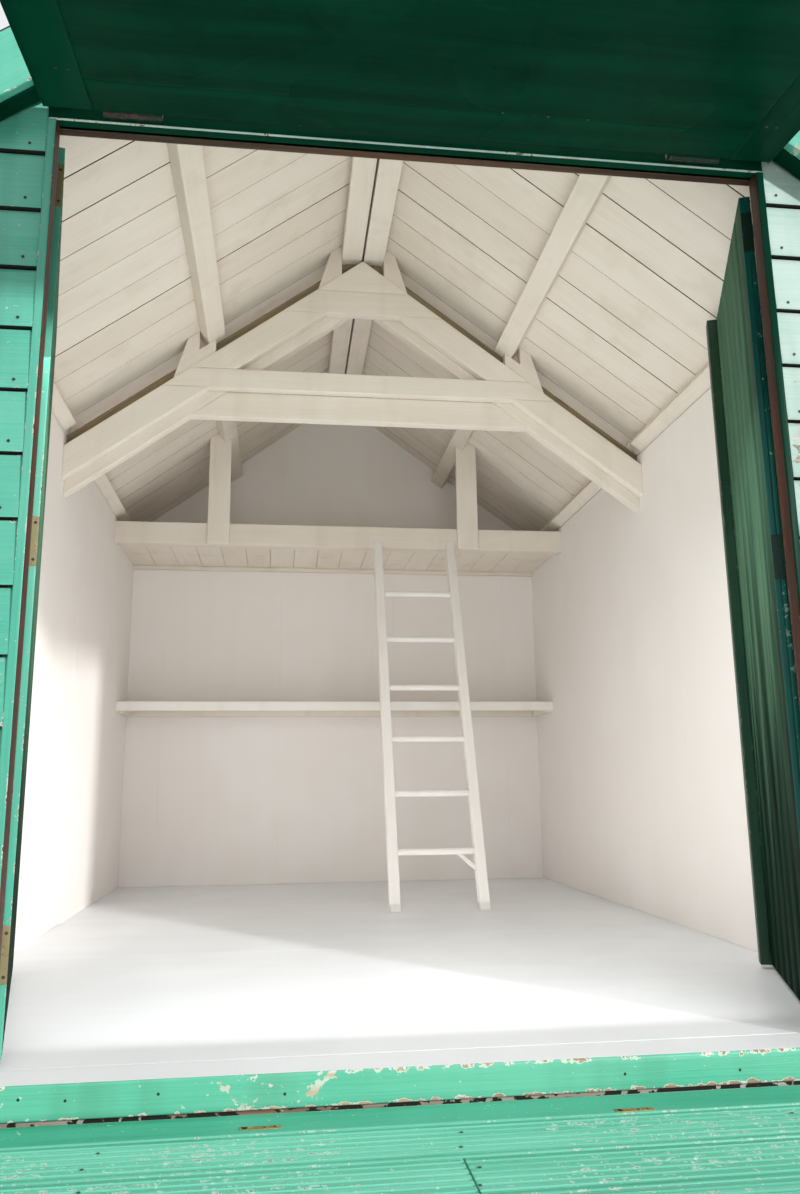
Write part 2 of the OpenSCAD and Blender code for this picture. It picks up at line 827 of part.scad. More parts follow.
module ladder_stringer(x) {
    foot = loft_y - ladder_foot;
    along_x(x, x + stringer_w) polygon([
        [foot, floor_z], [foot + stringer_run, floor_z],
        [loft_y, ladder_top - stringer_run / ladder_tan], [loft_y, ladder_top]
    ]);
}

module ladder_stringers() color("white") {
    ladder_stringer(ladder_x - ladder_w / 2);
    ladder_stringer(ladder_x + ladder_w / 2 - stringer_w);
}

// Axis of a rung at a height over the floor, from the ladder's middle line
function rung_at(x, z) =
    [ladder_x + x, loft_y - ladder_foot + z * ladder_tan + stringer_run / 2, floor_z + z];

// Rungs, and a small brace between the lowest one and the right-hand stringer
module ladder_rungs() color("white") {
    inside = ladder_w - 2 * stringer_w;
    last = ladder_top - floor_z - rung_step;
    for (z = [rung_first : rung_step : last]) {
        translate(rung_at(0, z)) rotate([0, 90, 0]) cylinder(r = rung_r, h = inside, center = true);
    }
    translate(rung_at(inside / 2, rung_first)) rotate([-atan(ladder_tan), 0, 0])
        along_y(-brace_t / 2, brace_t / 2) polygon([
            [-brace_run, 0], [brace_w - brace_run, 0], [0, brace_w - brace_drop], [0, -brace_drop]
        ]);
}

module back_shelf() color("white") {
    block(-room_x, room_x, shelf_y, room_back, shelf_z - shelf_t, shelf_z);
    block(-room_x, room_x, shelf_y, shelf_y + shelf_lip_t, shelf_z - shelf_lip_h, shelf_z);
}

// One ledger along the back wall and one on each side wall
module shelf_ledgers() color("white") {
    top = shelf_z - shelf_t;
    inner_x = room_x - shelf_ledger;
    block(-room_x, room_x, room_back - shelf_ledger, room_back, top - shelf_ledger, top);
    side_y = room_back - shelf_ledger - joint_gap;
    both_sides() block(inner_x, room_x, shelf_y + shelf_lip_t, side_y, top - shelf_ledger, top);
}

// A plain strip next to the sill and ribbed boards in front of it
module deck_boards() color("mediumseagreen") {
    strip_y = deck_y - deck_strip_w;
    block(-hut_x, hut_x, strip_y, deck_y, deck_frame_z, deck_z);
    for (i = [1 : deck_board_count]) {
        y = strip_y - i * deck_pitch;
        block(-hut_x, hut_x, y, y + deck_board_w, deck_frame_z, deck_z);
    }
}

// Joists that lie on the sleepers and butt against the hut's front joist
module deck_joists() color("dimgray") {
    step = (2 * hut_x - joist_t) / (deck_joist_count - 1);
    for (i = [0 : deck_joist_count - 1]) {
        x = -hut_x + i * step;
        block(x, x + joist_t, deck_end, front_y, sleeper_h, deck_frame_z);
    }
}

ground_bearers();
floor_joists();
floor_boards();
door_sill();
front_walls();
front_gable();
door_posts();
door_head();
door_stops();
side_walls();
back_wall();
front_cladding();
gable_cladding();
side_cladding();
back_cladding();
corner_boards();
door_left_frame();
door_left_boards();
door_left_hinges();
door_right_frame();
door_right_boards();
door_right_hinges();
cover_strip();
fixed_hinges();
flap_frame();
flap_boards();
flap_hinges();
roof_boards();
roof_felt();
ridge_cap();
purlins();
ridge_beams();
barge_boards();
verge_soffits();
eaves_fascias();
truss_rafters();
truss_packers();
truss_facings();
truss_gussets();
truss_cleats();
loft_frame();
loft_boards();
loft_posts();
ladder_stringers();
ladder_rungs();
back_shelf();
shelf_ledgers();
deck_boards();
deck_joists();
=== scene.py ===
import json
import math
import random

import bmesh
import bpy
from mathutils import Matrix, Vector


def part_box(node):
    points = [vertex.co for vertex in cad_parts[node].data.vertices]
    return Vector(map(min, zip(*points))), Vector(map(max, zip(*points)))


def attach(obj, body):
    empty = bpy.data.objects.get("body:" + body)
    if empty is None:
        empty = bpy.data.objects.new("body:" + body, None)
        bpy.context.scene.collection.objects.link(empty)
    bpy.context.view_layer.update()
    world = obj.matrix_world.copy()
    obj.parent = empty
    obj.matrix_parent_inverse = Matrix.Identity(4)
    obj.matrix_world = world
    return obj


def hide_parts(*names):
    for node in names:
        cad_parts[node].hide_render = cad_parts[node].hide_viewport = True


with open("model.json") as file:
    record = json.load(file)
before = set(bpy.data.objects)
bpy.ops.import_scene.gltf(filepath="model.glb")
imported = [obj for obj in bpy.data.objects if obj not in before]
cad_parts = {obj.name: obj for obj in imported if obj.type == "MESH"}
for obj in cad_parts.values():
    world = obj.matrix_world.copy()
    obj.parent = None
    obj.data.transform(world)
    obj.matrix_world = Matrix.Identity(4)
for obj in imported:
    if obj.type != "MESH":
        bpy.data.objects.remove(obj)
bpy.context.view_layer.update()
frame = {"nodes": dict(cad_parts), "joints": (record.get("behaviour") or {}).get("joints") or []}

print("hut frame loaded:", len(frame["nodes"]), "timber and metal nodes")

xWay, yWay, zWay = Vector((1, 0, 0)), Vector((0, 1, 0)), Vector((0, 0, 1))
samePlace = 0.0001
squareOn = 0.9
onPlane = 0.00001
roofPitch, eavesX, eavesZ = math.radians(36.5), 1.09, 2.068
slopeOut = Vector((math.sin(roofPitch), 0, math.cos(roofPitch)))
slopeDown = Vector((math.cos(roofPitch), 0, -math.sin(roofPitch)))
ridgeZ = eavesZ + eavesX * math.tan(roofPitch)
cameraSet = {"place": (-0.288, -3.383, 0.72), "right": 7.28, "up": 11.55, "roll": -0.62, "focal": 922.7,
             "longSide": 1194, "nearest": 0.02}


# a colour from its six-figure code
def tint(code):
    shades = []
    for start in (0, 2, 4):
        shade = int(code[start:start + 2], 16) / 255
        shades.append(((shade + 0.055) / 1.055) ** 2.4 if shade > 0.04 else shade / 12.92)
    return (*shades, 1.0)


def putInScene(name, data):
    thing = bpy.data.objects.new(name, data)
    bpy.context.scene.collection.objects.link(thing)
    return thing


def standCamera(spec):
    right, up, roll = (math.radians(spec[key]) for key in ("right", "up", "roll"))
    lens = bpy.data.cameras.new("viewCamera")
    lens.lens = lens.sensor_width * spec["focal"] / spec["longSide"]
    lens.clip_start = spec["nearest"]
    camera = putInScene("viewCamera", lens)
    turn = Matrix.Rotation(-right, 4, "Z") @ Matrix.Rotation(math.pi / 2 + up, 4, "X")
    camera.matrix_world = Matrix.Translation(spec["place"]) @ turn @ Matrix.Rotation(roll, 4, "Z")
    bpy.context.scene.camera = camera


standCamera(cameraSet)


def shellsOf(bm):
    seen, shells = set(), []
    for start in bm.verts:
        if start in seen:
            continue
        seen.add(start)
        shell, queue = [start], [start]
        while queue:
            for edge in queue.pop().link_edges:
                for vert in edge.verts:
                    if vert not in seen:
                        seen.add(vert)
                        shell.append(vert)
                        queue.append(vert)
        shells.append(shell)
    return shells


def edgesOf(verts):
    return list(dict.fromkeys(edge for vert in verts for edge in vert.link_edges))


def facesOf(verts):
    return list(dict.fromkeys(face for vert in verts for face in vert.link_faces))


def coatFaces(bm, finish, chosen):
    for face in bm.faces:
        if chosen(face, face.calc_center_median()):
            face.material_index = finish


def wholeOf(bm):
    return bm.verts[:] + bm.edges[:] + bm.faces[:]


def addBlock(bm, low, high):
    verts = bmesh.ops.create_cube(bm, size=1.0)["verts"]
    low, high = Vector(low), Vector(high)
    bmesh.ops.scale(bm, verts=verts, vec=high - low)
    bmesh.ops.translate(bm, verts=verts, vec=(low + high) / 2)
    return verts


def moveBy(bm, matrix, verts=None):
    bmesh.ops.transform(bm, matrix=matrix, verts=verts or bm.verts[:])


def cutAlong(bm, parts, point, outward, away=True):
    bmesh.ops.bisect_plane(bm, geom=parts, dist=onPlane, plane_co=point, plane_no=outward, clear_outer=away)


def closeEnds(bm):
    bmesh.ops.holes_fill(bm, edges=[edge for edge in bm.edges if edge.is_boundary], sides=0)


# a node's own shape to work on, and its box
def copyNode(name):
    bm = bmesh.new()
    bm.from_mesh(frame["nodes"][name].data)
    bmesh.ops.remove_doubles(bm, verts=bm.verts[:], dist=0.00004)
    bmesh.ops.dissolve_limit(bm, angle_limit=math.radians(0.4), verts=bm.verts[:], edges=bm.edges[:])
    return bm, *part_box(name)


easeSet = {"sharp": 0.45, "broad": 3.4, "slim": 0.009, "slimRing": 0.003}


# arrises are eased, and a ring inside each face carries the wear of its edges
def easeEdges(bm, width=0.0015, ring=0.007, segments=2, together=False):
    groups = [bm.verts[:]] if together else shellsOf(bm)
    for group in groups:
        sharp = [edge for edge in edgesOf(group)
                 if edge.is_manifold and edge.calc_face_angle(0.0) > easeSet["sharp"]]
        bmesh.ops.bevel(bm, geom=sharp, offset=width, affect="EDGES", segments=segments,
                        profile=0.5, material=-1, clamp_overlap=True)
    wear = bm.verts.layers.float.new("wear")
    for vert in bm.verts:
        vert[wear] = 1.0
    broad, slim = [], []
    for face in bm.faces:
        breadth = face.calc_area() / max(edge.calc_length() for edge in face.edges)
        if breadth > easeSet["broad"] * ring:
            broad.append(face)
        elif breadth > easeSet["slim"]:
            slim.append(face)
    for faces, thickness in ((broad, ring), (slim, easeSet["slimRing"])):
        if faces:
            bmesh.ops.inset_individual(bm, faces=faces, thickness=thickness, use_even_offset=True)
            for face in faces:
                for vert in face.verts:
                    vert[wear] = 0.0


# straight grooves: cut along planes and pressed in on the face through a spot
def scoreLines(bm, across, places, groove, inward, spot):
    wear = bm.verts.layers.float["wear"]
    half, flat = groove["half"], groove.get("flat", 0.0)
    offsets = (-half, -flat, flat, half) if flat > 0 else (-half, 0.0, half)
    for place in places:
        for offset in offsets:
            cutAlong(bm, wholeOf(bm), across * (place + offset), across, away=False)
    for vert in bm.verts:
        if abs((vert.co - spot).dot(inward)) > samePlace:
            continue
        reach = vert.co.dot(across)
        near = min(abs(reach - place) for place in places)
        if near < flat + samePlace:
            vert.co += inward * groove["depth"]
            vert[wear] = 0.0
        elif near < half + samePlace:
            vert[wear] = max(vert[wear], groove.get("lip", 0.0))


headShape = {"sunk": 0.35, "top": 0.72}


# small heads of nails and screws, each a low cone standing on its face
def addHeads(bm, spots, outward, size, finish, sides=8):
    radius, height = size
    turn = outward.to_track_quat("Z", "Y").to_matrix().to_4x4()
    for spot in spots:
        place = Matrix.Translation(Vector(spot) + outward * (height * headShape["sunk"])) @ turn
        made = bmesh.ops.create_cone(bm, segments=sides, radius1=radius, radius2=radius * headShape["top"],
                                     depth=height, cap_ends=True, matrix=place)["verts"]
        for face in facesOf(made):
            face.material_index = finish


# grain runs along the longest edge of each board, with its own start and tone
def layGrain(bm, name):
    chance = random.Random(name)
    grain = bm.loops.layers.uv.new("UVMap")
    tone = bm.verts.layers.float.new("tone")
    for shell in shellsOf(bm):
        longest = max(edgesOf(shell), key=lambda edge: edge.calc_length())
        way = (longest.verts[1].co - longest.verts[0].co).normalized()
        start = (chance.uniform(0, 40), chance.uniform(0, 40))
        shade = chance.random()
        for vert in shell:
            vert[tone] = shade
        for face in facesOf(shell):
            along = way
            if abs(face.normal.dot(way)) > 0.8:
                along = way.orthogonal()
            along = (along - face.normal * along.dot(face.normal)).normalized()
            across = face.normal.cross(along)
            for loop in face.loops:
                point = loop.vert.co
                loop[grain].uv = (start[0] + point.dot(along), start[1] + point.dot(across))


# the finishes go on the piece's mesh in the given order
def finishPiece(bm, name, node, finishes, body="hut", soft=48):
    bmesh.ops.recalc_face_normals(bm, faces=bm.faces[:])
    layGrain(bm, name)
    for face in bm.faces:
        face.smooth = True
    for edge in bm.edges:
        edge.smooth = edge.is_manifold and edge.calc_face_angle(0.0) < math.radians(soft)
    mesh = bpy.data.meshes.new(name)
    bm.to_mesh(mesh)
    bm.free()
    for finish in finishes:
        mesh.materials.append(finish)
    piece = putInScene(name, mesh)
    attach(piece, body)
    if node:
        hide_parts(node)


def feedNode(tree, node, inputs):
    for key, value in inputs.items():
        if isinstance(value, bpy.types.NodeSocket):
            tree.links.new(value, node.inputs[key])
        else:
            node.inputs[key].default_value = value


def addNode(tree, kind, inputs=None, **settings):
    node = tree.nodes.new("ShaderNode" + kind)
    for key, value in settings.items():
        setattr(node, key, value)
    feedNode(tree, node, inputs or {})
    return node


def reckon(tree, operation, first, second, third=0.0):
    return addNode(tree, "Math", {0: first, 1: second, 2: third}, operation=operation).outputs[0]


def times(tree, first, second):
    return reckon(tree, "MULTIPLY", first, second)


def timesPlus(tree, first, second, third):
    return reckon(tree, "MULTIPLY_ADD", first, second, third)


def spread(tree, value, low, high, start=0.0, end=1.0):
    node = addNode(tree, "MapRange", {"Value": value, "From Min": low, "From Max": high,
                                      "To Min": start, "To Max": end}, interpolation_type="SMOOTHSTEP")
    return node.outputs["Result"]


def layOver(tree, amount, first, second):
    return addNode(tree, "Mix", {0: amount, 6: first, 7: second}, data_type="RGBA").outputs[2]


def thinCoats(tree, colour, coats):
    for mask, share, coat in coats:
        if share:
            colour = layOver(tree, times(tree, mask, share), colour, coat)
    return colour


def objectPlace(tree):
    return addNode(tree, "TexCoord").outputs["Object"]


def attributeOf(tree, name):
    return addNode(tree, "Attribute", attribute_name=name).outputs["Fac"]


def noiseAt(tree, place, scale, detail, roughness=0.5):
    return addNode(tree, "TexNoise", {
        "Vector": place, "Scale": scale, "Detail": detail, "Roughness": roughness}).outputs[0]


def openGroup(name, inputs):
    group = bpy.data.node_groups.new(name, "ShaderNodeTree")
    for label, value in inputs.items():
        socket = group.interface.new_socket(name=label, in_out="INPUT", socket_type="NodeSocketFloat")
        socket.default_value = value
    return group, group.nodes.new("NodeGroupInput").outputs


def closeGroup(group, results):
    for label in results:
        group.interface.new_socket(name=label, in_out="OUTPUT", socket_type="NodeSocketFloat")
    feedNode(group, group.nodes.new("NodeGroupOutput"), results)
    return group


def useGroup(tree, group, inputs=None):
    return addNode(tree, "Group", inputs, node_tree=group).outputs


# stretched coordinates along the grain of a board, with the board's tone as the third
def grainSpace(tree, along, across, salt):
    parts = addNode(tree, "SeparateXYZ", {0: addNode(tree, "UVMap", uv_map="UVMap").outputs[0]})
    joined = addNode(tree, "CombineXYZ", {
        0: times(tree, parts.outputs[0], along), 1: times(tree, parts.outputs[1], across),
        2: times(tree, attributeOf(tree, "tone"), salt)})
    return joined.outputs[0]


def makeBrushMarks():
    group, given = openGroup("brushMarks", {"Along": 5, "Across": 210})
    fine = noiseAt(group, grainSpace(group, given["Along"], given["Across"], 23), 1, 1.5, 0.6)
    slow = noiseAt(group, grainSpace(group, 1.1, 16, 41), 1, 2, 0.62)
    return closeGroup(group, {"Streak": spread(group, fine, 0.33, 0.67), "Band": spread(group, slow, 0.34, 0.66),
                              "Tone": attributeOf(group, "tone")})


def makeWornEdges():
    group, given = openGroup("wornEdges", {"Reach": 0.4, "Grain": 40})
    place = objectPlace(group)
    chips = noiseAt(group, place, given["Grain"], 3, 0.68)
    patches = noiseAt(group, place, 3.1, 0)
    level = timesPlus(group, attributeOf(group, "wear"), 0.25, chips)
    level = timesPlus(group, spread(group, patches, 0.38, 0.62), 0.12, level)
    limit = timesPlus(group, given["Reach"], -0.35, 1.02)
    over = reckon(group, "SUBTRACT", level, limit)
    return closeGroup(group, {"Worn": spread(group, over, 0, 0.035), "Bare": spread(group, over, 0.07, 0.1)})


def makeWeathering():
    group, given = openGroup("weathering", {"Size": 1})
    place = objectPlace(group)
    tall = addNode(group, "Mapping", {"Vector": place, "Scale": (9, 9, 1)})
    runs = noiseAt(group, tall.outputs[0], given["Size"], 2, 0.65)
    clouds = noiseAt(group, place, times(group, given["Size"], 2.3), 2, 0.6)
    return closeGroup(group, {"Runs": spread(group, runs, 0.5, 0.74), "Clouds": spread(group, clouds, 0.42, 0.66)})


def makeFlaking():
    group, given = openGroup("flaking", {"Amount": 0.3, "Size": 30})
    place = objectPlace(group)
    areas = noiseAt(group, place, 2.6, 2, 0.6)
    cells = addNode(group, "TexVoronoi", {"Vector": place, "Scale": given["Size"]})
    rough = noiseAt(group, place, 95, 2, 0.7)
    limit = timesPlus(group, given["Amount"], -0.55, 1.18)
    level = reckon(group, "ADD", areas, times(group, cells.outputs["Distance"], 0.45))
    level = timesPlus(group, rough, 0.3, level)
    return closeGroup(group, {"Flake": spread(group, reckon(group, "SUBTRACT", level, limit), 0, 0.03),
                              "Specks": spread(group, timesPlus(group, areas, 0.2, rough), 0.79, 0.83)})


def makeTimberGrain():
    group, given = openGroup("timberGrain", {"Rings": 34})
    rings = noiseAt(group, grainSpace(group, 1.3, given["Rings"], 17), 1, 2, 0.7)
    pores = noiseAt(group, grainSpace(group, 14, 420, 9), 1, 0)
    return closeGroup(group, {"Grain": spread(group, rings, 0.34, 0.66), "Pores": spread(group, pores, 0.4, 0.7)})


brushMarks = makeBrushMarks()
wornEdges = makeWornEdges()
weathering = makeWeathering()
flaking = makeFlaking()
timberGrain = makeTimberGrain()
print("finish groups made")


def newMaterial(name):
    material = bpy.data.materials.new(name)
    material.use_nodes = True
    tree = material.node_tree
    tree.nodes.clear()
    shader = tree.nodes.new("ShaderNodeBsdfPrincipled")
    tree.links.new(shader.outputs[0], tree.nodes.new("ShaderNodeOutputMaterial").inputs["Surface"])
    return material, tree, shader


def reliefOf(tree, height, distance):
    return addNode(tree, "Bump", {"Height": height, "Distance": distance}).outputs[0]


def mixTints(look):
    return {key: tint(value) if isinstance(value, str) else value for key, value in look.items()}


oldPaint = {"along": 5, "across": 210, "streak": 0.4, "band": 0.4, "tone": 0.3, "clouds": 0.3, "runs": 0.3,
            "edge": 0, "chip": 42, "flake": 0, "flakeSize": 30, "relief": 0.0003, "gloss": 0.4}
oldTimber = {"clouds": 0.4, "edge": 0.4, "rings": 40, "relief": 0.0003}


# a coat of old paint, over primer and wood where it is lost
def paintedTimber(name, changes):
    look = mixTints(oldPaint | changes)
    material, tree, shader = newMaterial(name)
    brush = useGroup(tree, brushMarks, {"Along": look["along"], "Across": look["across"]})
    air = useGroup(tree, weathering)
    colour = thinCoats(tree, look["paint"], (
        (brush["Streak"], look["streak"], look["deep"]), (brush["Band"], look["band"], look["fade"]),
        (brush["Tone"], look["tone"], look["deep"]), (air["Clouds"], look["clouds"], look["fade"]),
        (air["Runs"], look["runs"], look.get("stain"))))
    if "ridge" in look:
        patchy = timesPlus(tree, brush["Band"], 0.5, look["ridge"] - 0.3)
        colour = thinCoats(tree, colour, [(attributeOf(tree, "wear"), patchy, look["rubbed"])])
    # painted shade: the colour darkens towards the foot, from the first height down to the second
    if "paintedShadeColour" in look:
        height = addNode(tree, "SeparateXYZ", {0: objectPlace(tree)}).outputs[2]
        high, low, share = look["paintedShadeAt"]
        under = spread(tree, timesPlus(tree, brush["Band"], 0.5, height), high, low, 0, share)
        colour = layOver(tree, under, colour, look["paintedShadeColour"])
    rough = timesPlus(tree, air["Clouds"], 0.07, look["rough"])
    height = times(tree, brush["Streak"], 0.35)
    if look["edge"] > 0:
        colour, lost = losePaint(tree, look, colour)
        rough = timesPlus(tree, lost, 0.3, rough)
        height = timesPlus(tree, brush["Band"], 0.5, height)
        height = timesPlus(tree, lost, -1.1, height)
    feedNode(tree, shader, {"Base Color": colour, "Roughness": rough, "Specular IOR Level": look["gloss"]})
    if look["relief"] > 0:
        feedNode(tree, shader, {"Normal": reliefOf(tree, height, look["relief"])})
    return material


def losePaint(tree, look, colour):
    edges = useGroup(tree, wornEdges, {"Reach": look["edge"], "Grain": look["chip"]})
    wood = useGroup(tree, timberGrain)["Grain"]
    darkWood = tuple(0.45 * shade for shade in look["bare"][:3]) + (1,)
    lost = edges["Worn"]
    colour = layOver(tree, lost, colour, look["primer"])
    colour = layOver(tree, edges["Bare"], colour, layOver(tree, wood, look["bare"], darkWood))
    if look["flake"] > 0:
        flakes = useGroup(tree, flaking, {"Amount": look["flake"], "Size": look["flakeSize"]})
        flaked = layOver(tree, wood, look["primer"], look["bare"])
        colour = layOver(tree, flakes["Flake"], colour, flaked)
        colour = thinCoats(tree, colour, [(flakes["Specks"], 0.7, look["primer"])])
        lost = reckon(tree, "MAXIMUM", lost, flakes["Flake"])
    return colour, lost


def bareTimber(name, changes):
    look = mixTints(oldTimber | changes)
    material, tree, shader = newMaterial(name)
    wood = useGroup(tree, timberGrain, {"Rings": look["rings"]})
    air = useGroup(tree, weathering)
    edges = useGroup(tree, wornEdges, {"Reach": look["edge"], "Grain": 30})
    brush = useGroup(tree, brushMarks)
    colour = thinCoats(tree, layOver(tree, wood["Grain"], look["pale"], look["dark"]), (
        (brush["Tone"], 0.3, look["dark"]), (wood["Pores"], 0.35, look["pore"]),
        (air["Clouds"], look["clouds"], look["air"]), (edges["Worn"], 0.7, look["worn"])))
    height = timesPlus(tree, wood["Pores"], -0.5, wood["Grain"])
    feedNode(tree, shader, {
        "Base Color": colour, "Roughness": timesPlus(tree, wood["Grain"], 0.12, look["rough"]),
        "Normal": reliefOf(tree, height, look["relief"])})
    return material


def mineralFelt(name, changes):
    look = mixTints(changes)
    material, tree, shader = newMaterial(name)
    place = objectPlace(tree)
    grit = addNode(tree, "TexVoronoi", {"Vector": place, "Scale": look["grit"]})
    air = useGroup(tree, weathering, {"Size": 0.8})
    edges = useGroup(tree, wornEdges, {"Reach": 0.5, "Grain": 60})
    speck = spread(tree, noiseAt(tree, place, 420, 2), 0.42, 0.6)
    colour = thinCoats(tree, layOver(tree, speck, look["dark"], look["pale"]), (
        (air["Clouds"], 0.4, look["moss"]), (air["Runs"], 0.35, look["dark"])))
    colour = layOver(tree, edges["Worn"], colour, look["edge"])
    height = reckon(tree, "ADD", grit.outputs["Distance"], speck)
    feedNode(tree, shader, {"Base Color": colour, "Roughness": timesPlus(tree, speck, 0.12, 0.8),
                            "Normal": reliefOf(tree, height, 0.0006)})
    return material


def oldSteel(name, changes):
    look = mixTints(changes)
    material, tree, shader = newMaterial(name)
    place = objectPlace(tree)
    patches = noiseAt(tree, place, look["patch"], 6, 0.7)
    pits = noiseAt(tree, place, 700, 3)
    edges = useGroup(tree, wornEdges, {"Reach": look["edge"], "Grain": 130})
    patchy = spread(tree, patches, look["lossAt"], look["lossAt"] + 0.04)
    lost = reckon(tree, "MAXIMUM", edges["Worn"], patchy)
    metal = layOver(tree, spread(tree, pits, 0.42, 0.62), look["metal"], look["rust"])
    feedNode(tree, shader, {
        "Base Color": layOver(tree, lost, look["coat"], metal), "Metallic": times(tree, lost, look["shine"]),
        "Roughness": timesPlus(tree, pits, 0.3, look["rough"]),
        "Normal": reliefOf(tree, timesPlus(tree, lost, -1, pits), 0.0002)})
    return material


seaGreen = paintedTimber("seaGreenPaint", {
    "paint": "62c2a8", "deep": "42a68e", "fade": "7ed0b8", "stain": "488e76", "primer": "cedacc",
    "bare": "967654", "tone": 0.28, "runs": 0.35, "edge": 0.34, "rough": 0.36, "relief": 0.00035,
    "flake": 0.1})
# painted shade: near black for the joists' front in the gap under the sill, with flakes of white primer
shadeWithFlakes = paintedTimber("paintedShadeWithFlakes", {
    "paint": "221e19", "deep": "12100d", "fade": "3a362c", "stain": "14120f", "primer": "dee0d4",
    "bare": "967054", "tone": 0.2, "edge": 0.6, "chip": 50, "rough": 0.7, "relief": 0.0005, "flake": 0.5,
    "flakeSize": 40})
sillGreen = paintedTimber("sillGreenPaint", {
    "paint": "5ec4a4", "deep": "40ac8a", "fade": "86d4b8", "stain": "589274", "primer": "dee6d8",
    "bare": "d2b898", "band": 0.35, "tone": 0.1, "clouds": 0.35, "edge": 0.5, "chip": 34, "rough": 0.38,
    "relief": 0.0005, "flake": 0.1, "flakeSize": 22})
# painted sunlight: a pale near-white mint stands for the sun's glare on the right-hand boarding and the head's
# front arris
sunlitMint = paintedTimber("sunlitMintPaint", {
    "paint": "c4d9d0", "deep": "a2c8bb", "fade": "dae6df", "stain": "76a894", "primer": "e2e4d8",
    "bare": "8c7e68", "streak": 0.5, "tone": 0.25, "runs": 0.4, "edge": 0.4, "rough": 0.6, "relief": 0.00035,
    "flake": 0.15})
darkGreen = paintedTimber("darkGreenGloss", {
    "paint": "043a28", "deep": "022a1d", "fade": "084c36", "stain": "032018", "primer": "5c9680",
    "bare": "786448", "streak": 0.5, "band": 0.5, "edge": 0.06, "rough": 0.26, "relief": 0.00014,
    "gloss": 0.02})
tealPaint = paintedTimber("tealPaint", {
    "paint": "166862", "deep": "0c4e4c", "fade": "2a8276", "stain": "0a3c3a", "primer": "a8beb2",
    "bare": "786042", "streak": 0.45, "edge": 0.3, "rough": 0.32})
# painted shade: the reeding darkens towards its foot
reededPaint = paintedTimber("reededGreenPaint", {
    "paint": "38624e", "deep": "224a38", "fade": "54745c", "stain": "184030", "primer": "969e84",
    "bare": "745c3e", "streak": 0.5, "band": 0.5, "tone": 0.25, "clouds": 0.45, "runs": 0.45, "edge": 0.1,
    "rough": 0.62, "relief": 0.0004, "gloss": 0.03, "ridge": 0.6, "rubbed": "5e7e66", "paintedShadeColour": "021c12",
    "paintedShadeAt": (1.75, 0.75, 0.97)})
coverGreen = paintedTimber("coverStripPaint", {
    "paint": "163a2a", "deep": "0e281e", "fade": "344e38", "stain": "181c12", "primer": "60684e",
    "bare": "60482e", "streak": 0.5, "tone": 0.2, "runs": 0.4, "edge": 0.35, "rough": 0.4})
roomWhite = paintedTimber("roomWhitePaint", {
    "paint": "f0e7db", "deep": "e1d5c5", "fade": "f6efe6", "stain": "cec2ac", "streak": 0.35, "tone": 0.35,
    "runs": 0.22, "rough": 0.46, "gloss": 0})
shelfWhite = paintedTimber("shelfWhitePaint", {
    "paint": "faf5f0", "deep": "ece5dd", "fade": "fcf9f6", "stain": "d8d0c4", "streak": 0.3, "band": 0.35,
    "tone": 0.25, "runs": 0.18, "rough": 0.42})
wallWhite = paintedTimber("wallWhitePaint", {
    "paint": "f6f0eb", "deep": "ede6e0", "fade": "faf6f3", "streak": 0, "band": 0.14, "clouds": 0.4,
    "runs": 0, "rough": 0.55, "relief": 0, "gloss": 0})
floorPaint = paintedTimber("floorPaint", {
    "paint": "eceff2", "deep": "dee0e2", "fade": "f6f8fa", "streak": 0, "band": 0.22, "tone": 0.14,
    "clouds": 0.5, "runs": 0, "rough": 0.42, "relief": 0})
deckGreen = paintedTimber("deckGreenPaint", {
    "paint": "44ae8e", "deep": "289676", "fade": "62c4a6", "stain": "428e72", "primer": "bee4d4",
    "bare": "a8c4ae", "along": 9, "across": 320, "streak": 0.5, "clouds": 0.4, "runs": 0.15, "edge": 0.3,
    "chip": 60, "rough": 0.5, "relief": 0.0005, "flake": 0.06, "ridge": 0.7, "rubbed": "82d7bd"})
brownStain = bareTimber("brownStainedTimber", {
    "pale": "684224", "dark": "3a2210", "pore": "1e1208", "air": "463422", "worn": "84603c", "rough": 0.5,
    "relief": 0.0003})
# the packers' grey-brown is bare timber, darkened as painted shade for the shadow behind the truss facings
packerBrown = bareTimber("bareAndShadedPackerTimber", {
    "pale": "a09070", "dark": "76674d", "pore": "4c402e", "air": "867a62", "worn": "ac9e82", "rough": 0.6,
    "relief": 0.0003})
postBrown = bareTimber("brownPostPaint", {
    "pale": "582812", "dark": "341609", "pore": "1a0c06", "air": "3e2214", "worn": "785436", "edge": 0.35,
    "rough": 0.42, "relief": 0.0002})
# painted shade: near black for the laps and the wall faces behind them
lapShade = bareTimber("paintedLapShade", {
    "pale": "28261e", "dark": "181813", "pore": "0c0c0a", "air": "1e221c", "worn": "463e30", "edge": 0.2,
    "rough": 0.8, "relief": 0.0002})
rawTimber = bareTimber("weatheredTimber", {
    "pale": "96846a", "dark": "685640", "pore": "3c3024", "air": "807a6c", "worn": "9e927c", "clouds": 0.6,
    "edge": 0.5, "rings": 30, "rough": 0.78, "relief": 0.0006})
roofFelt = mineralFelt("mineralFelt", {
    "dark": "242a29", "pale": "58625e", "moss": "46503e", "edge": "1a1c1c", "grit": 520})
hingePaint = oldSteel("paintedHingeSteel", {
    "coat": "0c3228", "metal": "605a50", "rust": "54301c", "patch": 70, "lossAt": 0.62, "edge": 0.55,
    "shine": 0.6, "rough": 0.3})
wornHinge = oldSteel("wornHingeSteel", {
    "coat": "96865e", "metal": "b0a074", "rust": "684628", "patch": 60, "lossAt": 0.55, "edge": 0.5,
    "shine": 0.4, "rough": 0.35})
nailSteel = oldSteel("rustedNailHeads", {
    "coat": "2e2a26", "metal": "60584e", "rust": "542e18", "patch": 190, "lossAt": 0.52, "edge": 0.3,
    "shine": 0.5, "rough": 0.4})
